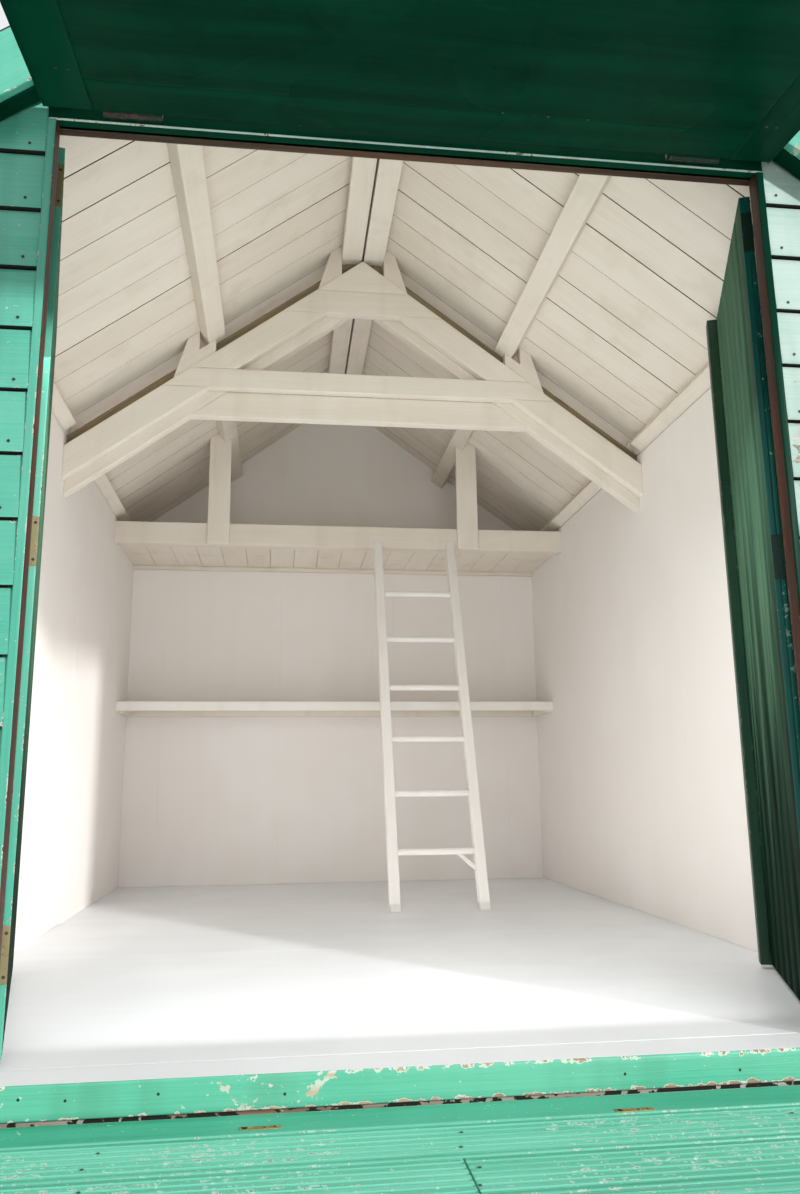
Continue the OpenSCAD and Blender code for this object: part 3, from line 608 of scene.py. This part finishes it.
brassKeep = oldSteel("wornBrassKeeps", {
    "coat": "8cb28c", "metal": "bea060", "rust": "7a4a28", "patch": 90, "lossAt": 0.44, "edge": 0.7,
    "shine": 0.7, "rough": 0.35})
paintedHoleShade = oldSteel("paintedKeepHoleShade", {
    "coat": "080807", "metal": "1e1a16", "rust": "281a10", "patch": 150, "lossAt": 0.66, "edge": 0.1,
    "shine": 0, "rough": 0.7})
print("paints, timbers, felt and metals made")


# plainly dressed timbers: the node's own shape with eased and worn edges
def dressNode(node, finish, width=0.0015, ring=0.007, segments=2, body="hut"):
    bm = copyNode(node)[0]
    easeEdges(bm, width, ring, segments)
    finishPiece(bm, node + "_dressed", node, [finish], body)


# painted shade: the outer faces behind the boarding, seen only through the gaps, take the piece's dark second
# finish
def shadeHiddenFaces(bm, outward, reach):
    coatFaces(bm, 1, lambda face, middle: face.normal.dot(outward) > squareOn
              and middle.dot(outward) > reach - 0.001)


def dressFront(node, finishes):
    bm, low, high = copyNode(node)
    easeEdges(bm)
    shadeHiddenFaces(bm, -yWay, -low.y)
    finishPiece(bm, node + "_dressed", node, finishes)


dressedTimbers = {
    "ground_bearers": (rawTimber, 0.004), "deck_joists": (rawTimber, 0.003), "door_posts": (brownStain, 0.002),
    "corner_boards": (seaGreen, 0.002), "purlins": (roomWhite, 0.0025), "ridge_beams": (roomWhite, 0.0025),
    "barge_boards": (seaGreen, 0.002), "verge_soffits": (darkGreen, 0.0015), "eaves_fascias": (seaGreen, 0.002),
    "truss_rafters": (roomWhite, 0.002), "truss_packers": (packerBrown, 0.002),
    "truss_cleats": (roomWhite, 0.0015), "loft_frame": (roomWhite, 0.0025), "ladder_rungs": (shelfWhite, 0.001),
    "shelf_ledgers": (roomWhite, 0.0015)}
for node, (finish, width) in dressedTimbers.items():
    dressNode(node, finish, width)
dressFront("front_walls", [wallWhite, lapShade])
dressFront("front_gable", [wallWhite, lapShade])
dressFront("floor_joists", [rawTimber, shadeWithFlakes])
print("bearers, joists, walls, roof timbers and truss dressed")

floorSet = {"seams": (-0.42, 0.62), "groove": {"half": 0.0008, "depth": 0.0007}, "soft": 25}


def layFloor(spec):
    bm, low, high = copyNode("floor_boards")
    easeEdges(bm, 0.001)
    scoreLines(bm, yWay, spec["seams"], spec["groove"], -zWay, high)
    finishPiece(bm, "floorBoarding", "floor_boards", [floorPaint], soft=spec["soft"])


layFloor(floorSet)

sillSet = {"nailX": (-0.716, -0.64, -0.488, -0.275, 0.334, 0.553),
           "nailDown": (0.021, 0.026, 0.023, 0.033, 0.029, 0.032), "nail": (0.0028, 0.0012),
           "round": 0.004, "ring": 0.009, "lowEdge": 0.006, "wear": 1.3, "nose": 0.004}


def layDoorSill(spec):
    bm, low, high = copyNode("door_sill")
    easeEdges(bm, spec["round"], spec["ring"], 3)
    wear = bm.verts.layers.float["wear"]
    for vert in bm.verts:
        if vert.co.z < low.z + spec["lowEdge"]:
            vert[wear] = spec["wear"]
    # the floor's paint runs over the top of the sill
    coatFaces(bm, 2, lambda face, middle: face.normal.z > squareOn and middle.y > low.y + spec["nose"])
    spots = [(x, low.y, high.z - down) for x, down in zip(spec["nailX"], spec["nailDown"])]
    addHeads(bm, spots, -yWay, spec["nail"], 1)
    finishPiece(bm, "doorSill", "door_sill", [sillGreen, nailSteel, floorPaint])


layDoorSill(sillSet)
print("floor and sill laid")

liningSet = {"sheet": 0.61, "seam": {"half": 0.0009, "depth": 0.0012}, "spare": 0.1, "firstX": -0.915,
             "joints": 4, "shadow": {"half": 0.0028, "flat": 0.00224, "depth": 0.012}, "ring": 0.008}


def lineSideWalls(spec):
    bm, low, high = copyNode("side_walls")
    easeEdges(bm, 0.0015, spec["ring"])
    count = int((high.y - low.y - spec["spare"]) / spec["sheet"])
    places = [low.y + spec["sheet"] * step for step in range(1, 1 + count)]
    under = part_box("purlins")[0].z - spec["shadow"]["half"]
    # the sheets' joints, and the dark line under the lowest purlins
    for across, lines, groove in ((yWay, places, "seam"), (zWay, [under], "shadow")):
        for side in (-1, 1):
            scoreLines(bm, across, lines, spec[groove], xWay * side, xWay * (side * eavesX))
    for side in (-1, 1):
        shadeHiddenFaces(bm, xWay * side, high.x)
    finishPiece(bm, "sideWallLining", "side_walls", [wallWhite, lapShade])


def lineBackWall(spec):
    bm, low, high = copyNode("back_wall")
    easeEdges(bm, 0.0015, spec["ring"])
    places = [spec["firstX"] + spec["sheet"] * step for step in range(spec["joints"])]
    scoreLines(bm, xWay, places, spec["seam"], yWay, low)
    shadeHiddenFaces(bm, yWay, high.y)
    finishPiece(bm, "backWallLining", "back_wall", [wallWhite, lapShade])


lineSideWalls(liningSet)
lineBackWall(liningSet)

boardingSet = {"pitch": 0.132, "lapAt": 2.021, "thick": 0.018, "gap": 0.0036, "uneven": 0.0008, "lean": 0.009,
               "least": 0.012, "studs": 0.6, "nail": (0.0034, 0.0012), "nailed": 0.06, "nailIn": 0.03,
               "nailUp": 0.02, "stray": 0.004, "doorEdge": 0.796}


# a run of lapped boards, each leaning back under the one above, in a wall that faces -Y, then turned about Z
def lapBoards(bm, chance, spec, left, right, outer, bottom, top, turn=0):
    made, nails = [], []
    stray = spec["stray"]
    first = math.floor((bottom - spec["lapAt"]) / spec["pitch"])
    level = spec["lapAt"] + first * spec["pitch"]
    while level < top:
        low = max(level + chance.uniform(0, spec["uneven"]), bottom)
        high = min(level + spec["pitch"] - spec["gap"], top)
        if high - low > spec["least"]:
            verts = addBlock(bm, (left, outer, low), (right, outer + spec["thick"], high))
            lean = spec["lean"] * (high - low) / spec["pitch"]
            for vert in verts:
                if vert.co.y < outer + samePlace and vert.co.z > high - samePlace:
                    vert.co.y += lean
            made += verts
            if high - low > spec["nailed"]:
                count = max(2, round((right - left) / spec["studs"]) + 1)
                for step in range(count):
                    x = left + spec["nailIn"] + (right - left - 2 * spec["nailIn"]) * step / (count - 1)
                    x += chance.uniform(-stray, stray)
                    nails.append(Vector((x, outer, low + spec["nailUp"] + chance.uniform(-stray, stray))))
        level += spec["pitch"]
    spin = Matrix.Rotation(turn, 4, "Z")
    moveBy(bm, spin, made)
    return [spin @ nail for nail in nails], spin.to_3x3() @ -yWay


def underRoof(point, spare):
    slope = math.tan(roofPitch)
    return point.z < eavesZ + (eavesX - abs(point.x)) * slope - spare


def boardWall(name, node, runs, finish, spec):
    chance = random.Random(name)
    bm = bmesh.new()
    heads = [lapBoards(bm, chance, spec, *run) for run in runs]
    for side in (-1, 1):
        point = Vector((side * eavesX, 0, eavesZ))
        cutAlong(bm, wholeOf(bm), point, Vector((side * slopeOut.x, 0, slopeOut.z)))
        closeEnds(bm)
    easeEdges(bm, 0.0012, together=True)
    # painted shade: the edges inside the laps take a near-black finish
    coatFaces(bm, 2, lambda face, middle: abs(face.normal.z) > squareOn)
    for nails, outward in heads:
        spots = [nail for nail in nails if underRoof(nail, spec["nailIn"])]
        addHeads(bm, spots, outward, spec["nail"], 1)
    finishPiece(bm, name, node, [finish, nailSteel, lapShade])


def boardWalls(spec):
    low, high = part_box("front_cladding")
    boardWall("frontBoardingLeft", "front_cladding",
              [(low.x, -spec["doorEdge"], low.y, low.z, high.z)], seaGreen, spec)
    # painted sunlight: the right-hand boarding takes the pale sunlit mint
    boardWall("frontBoardingRight", "front_cladding",
              [(spec["doorEdge"], high.x, low.y, low.z, high.z)], sunlitMint, spec)
    low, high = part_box("gable_cladding")
    boardWall("gableBoarding", "gable_cladding", [(low.x, high.x, low.y, low.z, high.z)], seaGreen, spec)
    low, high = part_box("side_cladding")
    boardWall("sideBoarding", "side_cladding",
              [(-high.y, -low.y, low.x, low.z, high.z, -math.pi / 2),
               (low.y, high.y, low.x, low.z, high.z, math.pi / 2)], seaGreen, spec)
    low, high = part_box("back_cladding")
    boardWall("backBoarding", "back_cladding", [(low.x, high.x, -high.y, low.z, high.z, math.pi)], seaGreen, spec)


boardWalls(boardingSet)
print("walls lined and boarded")

headSet = {"screws": (-0.7, -0.35, 0, 0.35, 0.7), "screwUp": 0.055, "screw": (0.0035, 0.0012),
           "round": 0.006, "ring": 0.008, "rebate": 0.03, "rebateUp": 0.012, "arris": 0.0055}


def fitDoorHead(spec):
    bm, low, high = copyNode("door_head")
    easeEdges(bm, spec["round"], spec["ring"], 3)
    coatFaces(bm, 1, lambda face, middle: min(vert.co.y for vert in face.verts) > low.y + spec["rebate"]
              and middle.z < low.z + spec["rebateUp"])
    # painted highlight: the arris's lowest facets take the pale sunlit mint
    coatFaces(bm, 3, lambda face, middle: face.normal.z <= -0.5
              and max(middle.y - low.y, middle.z - low.z) < spec["arris"])
    spots = [(x, low.y, low.z + spec["screwUp"]) for x in spec["screws"]]
    addHeads(bm, spots, -yWay, spec["screw"], 2)
    finishPiece(bm, "doorHead", "door_head", [darkGreen, brownStain, nailSteel, sunlitMint])


# the rebates show the brown of the posts; the right stop's front face takes the head's dark green, a painted shade
def fitDoorStops():
    bm = copyNode("door_stops")[0]
    easeEdges(bm, 0.002, 0.006)
    coatFaces(bm, 2, lambda face, middle: face.normal.x * math.copysign(1, middle.x) < -0.6)
    coatFaces(bm, 1, lambda face, middle: middle.x > 0 and face.normal.y < -squareOn)
    finishPiece(bm, "doorStops", "door_stops", [seaGreen, darkGreen, postBrown])


fitDoorHead(headSet)
fitDoorStops()

leafSet = {"reed": 0.093, "groove": {"half": 0.01, "depth": 0.0085, "lip": 0.55}, "hingeX": 0.8055,
           "front": 0.0315, "back": 0.0175, "edge": 0.0014, "widths": {"door_left": 0.9505, "door_right": 0.6505}}
jointOf = {joint["name"]: joint for joint in frame["joints"]}


# the turn from closed to the open rest pose
def openTurn(name):
    joint = jointOf[name]
    pin = Vector(joint["pos_m"])
    turn = Matrix.Rotation(-math.radians(joint["range_deg"][1]), 4, Vector(joint["axis"]))
    return Matrix.Translation(pin) @ turn @ Matrix.Translation(-pin)


def reedLeaf(side, body, name, edgeCoatAndHighlight, spec):
    node = body + "_boards"
    low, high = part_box(node)
    pinY = jointOf[body + "_hinge"]["pos_m"][1]
    hingeX, width = side * spec["hingeX"], spec["widths"][body]
    front, back = pinY - spec["front"], pinY - spec["back"]
    bm = bmesh.new()
    ends = sorted((hingeX, hingeX - side * width))
    addBlock(bm, (ends[0], front, low.z), (ends[1], back, high.z))
    easeEdges(bm, 0.0012, 0.005)
    count = round(width / spec["reed"])
    places = [ends[0] + width * step / count for step in range(1, count)]
    scoreLines(bm, xWay, places, spec["groove"], yWay, yWay * front)
    coatFaces(bm, 1, lambda face, middle: side * (middle.x - hingeX) > -spec["edge"])
    moveBy(bm, openTurn(body + "_hinge"))
    finishPiece(bm, name, node, [reededPaint, edgeCoatAndHighlight], body)


# painted highlight: the left leaf's hinge edge takes the sunlit sea green of the front
def frameLeftLeaf():
    bm = copyNode("door_left_frame")[0]
    easeEdges(bm, 0.0015, 0.006)
    edge = openTurn("door_left_hinge").to_3x3() @ -xWay
    reach = max(vert.co.dot(edge) for vert in bm.verts)
    coatFaces(bm, 1, lambda face, middle: face.normal.dot(edge) > 0.7 and middle.dot(edge) > reach - 0.002)
    finishPiece(bm, "door_left_frame_dressed", "door_left_frame", [tealPaint, seaGreen], "door_left")


# painted highlight: the left leaf's reeding takes the sunlit sea green at its hinge edge
reedLeaf(-1, "door_left", "leftLeafReeding", seaGreen, leafSet)
reedLeaf(1, "door_right", "rightLeafReeding", tealPaint, leafSet)
frameLeftLeaf()
dressNode("door_right_frame", tealPaint, 0.0015, 0.006, body="door_right")
dressNode("cover_strip", coverGreen, 0.002, 0.005, body="door_right")

hingeSet = {"screw": (0.0034, 0.0004), "round": 0.0004, "ring": 0.003, "soft": 32, "sunk": 0.0005,
            "heights": (0.425, 1.205, 2),
            "rows": ((-0.038, 0.025), (-0.014, 0.013), (0.014, 0.013), (0.038, 0.025))}


# the screws of a leaf's hinge plates, on their face in the open pose
def leafScrews(side, body, spec):
    pin = Vector(jointOf[body + "_hinge"]["pos_m"])
    turn = openTurn(body + "_hinge")
    spots = []
    for height in spec["heights"]:
        for rise, back in spec["rows"]:
            spots.append(turn @ Vector((pin.x - side * spec["sunk"], pin.y - back, height + rise)))
    return spots, (turn.to_3x3() @ (xWay * side)).normalized()


def fitHinge(node, body, name, coat, spec, screws=None):
    bm = copyNode(node)[0]
    easeEdges(bm, spec["round"], spec["ring"])
    if screws:
        addHeads(bm, *screws, spec["screw"], 1, 10)
    finishPiece(bm, name, node, [coat, nailSteel], body, spec["soft"])


fitHinge("door_left_hinges", "door_left", "leftLeafHinges", wornHinge, hingeSet,
         leafScrews(-1, "door_left", hingeSet))
fitHinge("door_right_hinges", "door_right", "rightLeafHinges", hingePaint, hingeSet,
         leafScrews(1, "door_right", hingeSet))
fitHinge("fixed_hinges", "hut", "fixedHinges", hingePaint, hingeSet)
fitHinge("flap_hinges", "flap", "flapHinges", hingePaint, hingeSet)
print("doorway, leaves and hinges fitted")

flapSet = {"board": 0.1125, "joints": 7, "groove": {"half": 0.003, "depth": 0.003, "lip": 0.5},
           "screwX": (0.745, 0.722), "screwDown": (0.135, 0.84), "screw": (0.0032, 0.0008), "panelX": 0.7,
           "panelDown": (0.1085, 0.8085), "panelBack": 0.02, "joint": 0.0003, "sunk": 0.0002}


def raiseFlap(spec):
    pin = Vector(jointOf["flap_hinge"]["pos_m"])
    turn = openTurn("flap_hinge")
    border = copyNode("flap_frame")[0]
    easeEdges(border, 0.0007)
    spots = [turn @ Vector((side * x, pin.y, pin.z - down))
             for side in (-1, 1) for x in spec["screwX"] for down in spec["screwDown"]]
    addHeads(border, spots, turn.to_3x3() @ yWay, spec["screw"], 1)
    finishPiece(border, "flapFrame", "flap_frame", [darkGreen, nailSteel], "flap")
    boards = copyNode("flap_boards")[0]
    moveBy(boards, turn.inverted())
    easeEdges(boards)
    outer = min(vert.co.y for vert in boards.verts)
    low = min(vert.co.z for vert in boards.verts)
    places = [low + spec["board"] * step for step in range(1, 1 + spec["joints"])]
    scoreLines(boards, zWay, places, spec["groove"], yWay, yWay * outer)
    # the side under the raised flap has the dark coat
    coatFaces(boards, 1, lambda face, middle: face.normal.y > 0.5)
    moveBy(boards, turn)
    finishPiece(boards, "flapBoarding", "flap_boards", [seaGreen, darkGreen], "flap")
    panel = bmesh.new()  # the sheet between the stiles and rails lies flush with them
    x, joint = spec["panelX"] - spec["joint"], spec["joint"]
    top, bottom = (pin.z - down for down in spec["panelDown"])
    addBlock(panel, (-x, pin.y - spec["panelBack"], bottom + joint), (x, pin.y - spec["sunk"], top - joint))
    easeEdges(panel, 0.0005)
    moveBy(panel, turn)
    finishPiece(panel, "flapPanel", None, [darkGreen], "flap")


raiseFlap(flapSet)
print("flap raised")


# the frame of a slope: X down it from the ridge, Z out of the roof
def slopeFrame(side):
    return Matrix((
        (side * slopeDown.x, 0, side * slopeOut.x, 0), (0, 1, 0, 0),
        (slopeDown.z, 0, slopeOut.z, ridgeZ), (0, 0, 0, 1)))


def nailRow(slope, low, high, reach, top, spec):
    inset, step = spec["nailIn"], spec["nailStep"]
    count = int((high.y - low.y - 2 * inset) / step)
    spots = [slope @ Vector((reach, low.y + inset + step * index, top)) for index in range(count + 1)]
    return spots, (slope.to_3x3() @ zWay).normalized()


# what lies on each slope ends at the middle of the hut
def trimAtRidge(bm):
    for side in (-1, 1):
        verts = [vert for shell in shellsOf(bm) if side * sum(vert.co.x for vert in shell) > 0 for vert in shell]
        cutAlong(bm, verts + edgesOf(verts) + facesOf(verts), (side * 0.0003, 0, 0), (-side, 0, 0))
    closeEnds(bm)


roofBoardSet = {"widths": (0.147, 0.15), "gaps": (0.0007, 0.0015, 0.0024, 0.0036), "depth": 0.018, "over": 0.02,
                "least": 0.05, "rest": 0.01, "uneven": 0.0004}


# boards run down each slope from the ridge, side by side along the hut
def layRoofBoards(spec):
    low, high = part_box("roof_boards")
    chance = random.Random("roofBoards")
    bm = bmesh.new()
    length = high.x / slopeDown.x + spec["over"]
    for side in (-1, 1):
        along = low.y
        while along < high.y - spec["rest"]:
            end = min(along + chance.uniform(*spec["widths"]), high.y)
            if high.y - end < spec["least"]:
                end = high.y
            gap = chance.choice(spec["gaps"])
            verts = addBlock(bm, (-spec["over"], along, chance.uniform(0, spec["uneven"])),
                             (length, end - (gap if end < high.y else 0), spec["depth"]))
            moveBy(bm, slopeFrame(side), verts)
            along = end
    bmesh.ops.recalc_face_normals(bm, faces=bm.faces[:])
    for point, outward in ((high, xWay), (low, -xWay)):
        cutAlong(bm, wholeOf(bm), (point.x, 0, 0), outward)
        closeEnds(bm)
    trimAtRidge(bm)
    easeEdges(bm, 0.0012, 0.006, 2, together=True)
    # bare edges show dark in the gaps
    coatFaces(bm, 1, lambda face, middle: abs(face.normal.y) > squareOn)
    finishPiece(bm, "roofBoarding", "roof_boards", [roomWhite, brownStain])


layRoofBoards(roofBoardSet)

feltSet = {"course": 0.86, "lap": 0.075, "thick": 0.0026, "lift": 0.0183, "over": 0.003, "eavesIn": 0.0165,
           "nailStep": 0.075, "nailIn": 0.03, "nail": (0.0045, 0.001)}


def layFelt(spec):
    low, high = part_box("roof_felt")
    bm = bmesh.new()
    lift = spec["lift"]
    length = high.x / slopeDown.x
    rows = []
    for side in (-1, 1):
        slope = slopeFrame(side)
        lowCourse = (length - spec["course"], length - spec["eavesIn"], lift)
        topCourse = (0, length - spec["course"] + spec["lap"], lift + spec["over"])
        for start, end, bottom in (lowCourse, topCourse):
            top = bottom + spec["thick"]
            verts = addBlock(bm, (start, low.y, bottom), (end, high.y, top))
            moveBy(bm, slope, verts)
            rows.append(nailRow(slope, low, high, end - spec["nailIn"], top, spec))
    trimAtRidge(bm)
    easeEdges(bm, 0.0006, 0.01, 1)
    for row in rows:
        addHeads(bm, *row, spec["nail"], 1)
    finishPiece(bm, "feltCourses", "roof_felt", [roofFelt, nailSteel])


layFelt(feltSet)

capSet = {"top": 0.0326, "reach": 0.092, "nailStep": 0.15, "nailIn": 0.03, "nail": (0.0045, 0.001)}


def capRidge(spec):
    bm, low, high = copyNode("ridge_cap")
    easeEdges(bm, 0.001, 0.008, 1)
    for side in (-1, 1):
        row = nailRow(slopeFrame(side), low, high, spec["reach"], spec["top"], spec)
        addHeads(bm, *row, spec["nail"], 1)
    finishPiece(bm, "ridgeCapping", "ridge_cap", [roofFelt, nailSteel])


capRidge(capSet)
print("roof boarded and felted")

trussSet = {"nail": (0.0032, 0.0008), "nails": {
    "truss_facings": ("trussFacings", ((0, 2.2), (-0.3, 2.24), (0.3, 2.24), (-0.55, 2.21), (0.55, 2.21))),
    "truss_gussets": ("trussGussets", ((-0.2, 2.56), (0.2, 2.56), (-0.07, 2.62), (0.07, 2.62), (0, 2.7)))}}


def faceTruss(spec):
    for node, (name, places) in spec["nails"].items():
        bm, low, high = copyNode(node)
        easeEdges(bm, 0.002)
        addHeads(bm, [(x, low.y, z) for x, z in places], -yWay, spec["nail"], 0)
        finishPiece(bm, name, node, [roomWhite])


faceTruss(trussSet)

loftSet = {"board": 0.121, "joint": 0.0016}


def boardLoft(spec):
    low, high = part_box("loft_boards")
    count = round((high.x - low.x) / spec["board"])
    pitch = (high.x - low.x) / count
    half = spec["joint"] / 2
    bm = bmesh.new()
    for index in range(count):
        left = low.x + index * pitch + (half if index else 0)
        right = low.x + (index + 1) * pitch - (half if index < count - 1 else 0)
        addBlock(bm, (left, low.y, low.z), (right, high.y, high.z))
    easeEdges(bm, 0.001, 0.006, 2, together=True)
    finishPiece(bm, "loftBoarding", "loft_boards", [roomWhite])


boardLoft(loftSet)
dressNode("loft_posts", roomWhite, 0.002, 0.006)
dressNode("ladder_stringers", shelfWhite, 0.003, 0.006, 3)
dressNode("back_shelf", shelfWhite, 0.003, 0.007, 3)
print("truss, loft, ladder and shelf finished")

deckSet = {"strip": 0.095, "board": 0.135, "pitch": 0.14, "boards": 5, "butt": 0.001,
           "buttX": {2: -0.011, 4: 0.562}, "ribs": 6, "ribPitch": 0.02,
           "groove": {"half": 0.0044, "flat": 0.0022, "depth": 0.003, "lip": 1}, "backEdge": 0.007,
           "wear": 1.5, "soft": 40, "nail": (0.003, 0.0008), "nailRows": ((1.5, 0.006), (-1.5, -0.006)),
           "joists": (-1.1275, -0.5638, 0, 0.5638, 1.1275)}


def layDeck(spec):
    low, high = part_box("deck_boards")
    bm = bmesh.new()
    addBlock(bm, (low.x, high.y - spec["strip"], low.z), (high.x, high.y, high.z))
    grooves, nails = [], []
    for index in range(1, 1 + spec["boards"]):
        front = high.y - spec["strip"] - index * spec["pitch"]
        butt = spec["buttX"].get(index)
        ends = [(low.x, high.x)]
        if butt is not None:
            ends = [(low.x, butt - spec["butt"]), (butt + spec["butt"], high.x)]
        for left, right in ends:
            addBlock(bm, (left, front, low.z), (right, front + spec["board"], high.z))
        middle = front + spec["board"] / 2
        grooves += [middle + spec["ribPitch"] * (step - (spec["ribs"] - 1) / 2) for step in range(spec["ribs"])]
        nails += [(x + shift, middle + spec["ribPitch"] * row, high.z)
                  for x in spec["joists"] for row, shift in spec["nailRows"]]
    easeEdges(bm, 0.002, 0.006, 2, together=True)
    wear = bm.verts.layers.float["wear"]
    for vert in bm.verts:
        if vert.co.y > high.y - spec["backEdge"]:
            vert[wear] = spec["wear"]
    scoreLines(bm, yWay, grooves, spec["groove"], -zWay, high)
    addHeads(bm, nails, zWay, spec["nail"], 1)
    finishPiece(bm, "deckBoarding", "deck_boards", [deckGreen, nailSteel], soft=spec["soft"])


layDeck(deckSet)

keepSet = {"middles": ((-0.315, -1.7175), (0.315, -1.732)), "size": (0.068, 0.014, 0.002), "sunk": 0.001,
           "holes": ((-0.025, 0.0055, 1), (0.008, 0.0026, 2), (0.024, 0.0026, 2)), "rise": 0.0005}


# two worn keeps for the door bolts, let into the plain strip of the deck
def fitKeeps(spec):
    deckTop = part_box("deck_boards")[1].z
    length, width, thick = spec["size"]
    bottom, top = deckTop - spec["sunk"], deckTop - spec["sunk"] + thick
    bm = bmesh.new()
    for x, y in spec["middles"]:
        addBlock(bm, (x - length / 2, y - width / 2, bottom), (x + length / 2, y + width / 2, top))
    easeEdges(bm, 0.0006, 0.003)
    for x, y in spec["middles"]:
        # painted shade: each bolt hole is a near-black disc
        for shift, radius, finish in spec["holes"]:
            addHeads(bm, [(x + shift, y, top)], zWay, (radius, spec["rise"]), finish, 12)
    finishPiece(bm, "boltKeeps", None, [brassKeep, paintedHoleShade, nailSteel])


fitKeeps(keepSet)
print("deck laid")

studioSet = {
    "floor": tint("e2e2e0"), "air": tint("eef0f2"), "ambient": 0.2, "floorSize": 30,
    "suns": {
        "keyLamp": {"from": (0.77, -1, 0.34), "strength": 2.5, "soft": 3},
        "highLamp": {"from": (0.15, -0.7, 1), "strength": 0.95, "soft": 35},
        "backLamp": {"from": (-0.8, 0.9, 0.7), "strength": 1.5, "soft": 40}},
    "panels": {
        "roomLamp": {"size": (1.48, 1.7), "place": (0, -1.45, 1.17), "aim": (0, 1, 1.17), "power": 11.5},
        "bounceLamp": {"size": (1.6, 2.2), "place": (0, -0.1, 0.262), "aim": (0, -0.1, 3), "power": 6.2},
        "frontLamp": {"size": (3, 2), "place": (-0.3, -7, 1.4), "aim": (0, 0, 1.2), "power": 6},
        "thresholdLamp": {"size": (1.5, 0.6), "place": (-0.1, -1.3, 1.6), "aim": (-0.1, -1.3, 0), "power": 8.5}}}


def paleFloor(spec):
    bm = bmesh.new()
    bmesh.ops.create_grid(bm, x_segments=1, y_segments=1, size=spec["floorSize"])
    mesh = bpy.data.meshes.new("studioFloor")
    bm.to_mesh(mesh)
    bm.free()
    material, tree, shader = newMaterial("studioFloorPaint")
    feedNode(tree, shader, {"Base Color": spec["floor"], "Roughness": 0.9})
    mesh.materials.append(material)
    putInScene("studioFloor", mesh)


def paleAir(spec):
    world = bpy.data.worlds.new("studioAir")
    bpy.context.scene.world = world
    world.use_nodes = True
    tree = world.node_tree
    tree.nodes.clear()
    light = addNode(tree, "Background", {"Color": (1, 1, 1, 1), "Strength": spec["ambient"]})
    shown = addNode(tree, "Background", {"Color": spec["air"]})
    path = tree.nodes.new("ShaderNodeLightPath")
    seen = reckon(tree, "MAXIMUM", path.outputs["Is Camera Ray"], path.outputs["Is Glossy Ray"])
    seen = reckon(tree, "MAXIMUM", seen, path.outputs["Is Transmission Ray"])
    mix = addNode(tree, "MixShader", {0: seen, 1: light.outputs[0], 2: shown.outputs[0]})
    tree.links.new(mix.outputs[0], tree.nodes.new("ShaderNodeOutputWorld").inputs["Surface"])


def hangSun(name, spec):
    lamp = bpy.data.lights.new(name, "SUN")
    lamp.energy = spec["strength"]
    lamp.angle = math.radians(spec["soft"])
    stand = putInScene(name, lamp)
    stand.rotation_euler = Vector(spec["from"]).to_track_quat("Z", "Y").to_euler()


# soft panels that light the hut and stay out of sight
def hangPanel(name, spec):
    lamp = bpy.data.lights.new(name, "AREA")
    lamp.shape = "RECTANGLE"
    lamp.size, lamp.size_y = spec["size"]
    lamp.energy = spec["power"]
    lamp.cycles.use_multiple_importance_sampling = False
    stand = putInScene(name, lamp)
    stand.location = spec["place"]
    aim = Vector(spec["aim"]) - Vector(spec["place"])
    stand.rotation_euler = aim.to_track_quat("-Z", "Y").to_euler()
    stand.visible_camera = False
    stand.visible_glossy = False


paleFloor(studioSet)
paleAir(studioSet)
for name, spec in studioSet["suns"].items():
    hangSun(name, spec)
for name, spec in studioSet["panels"].items():
    hangPanel(name, spec)
bpy.context.scene.view_settings.view_transform = "Standard"
print("studio lit")
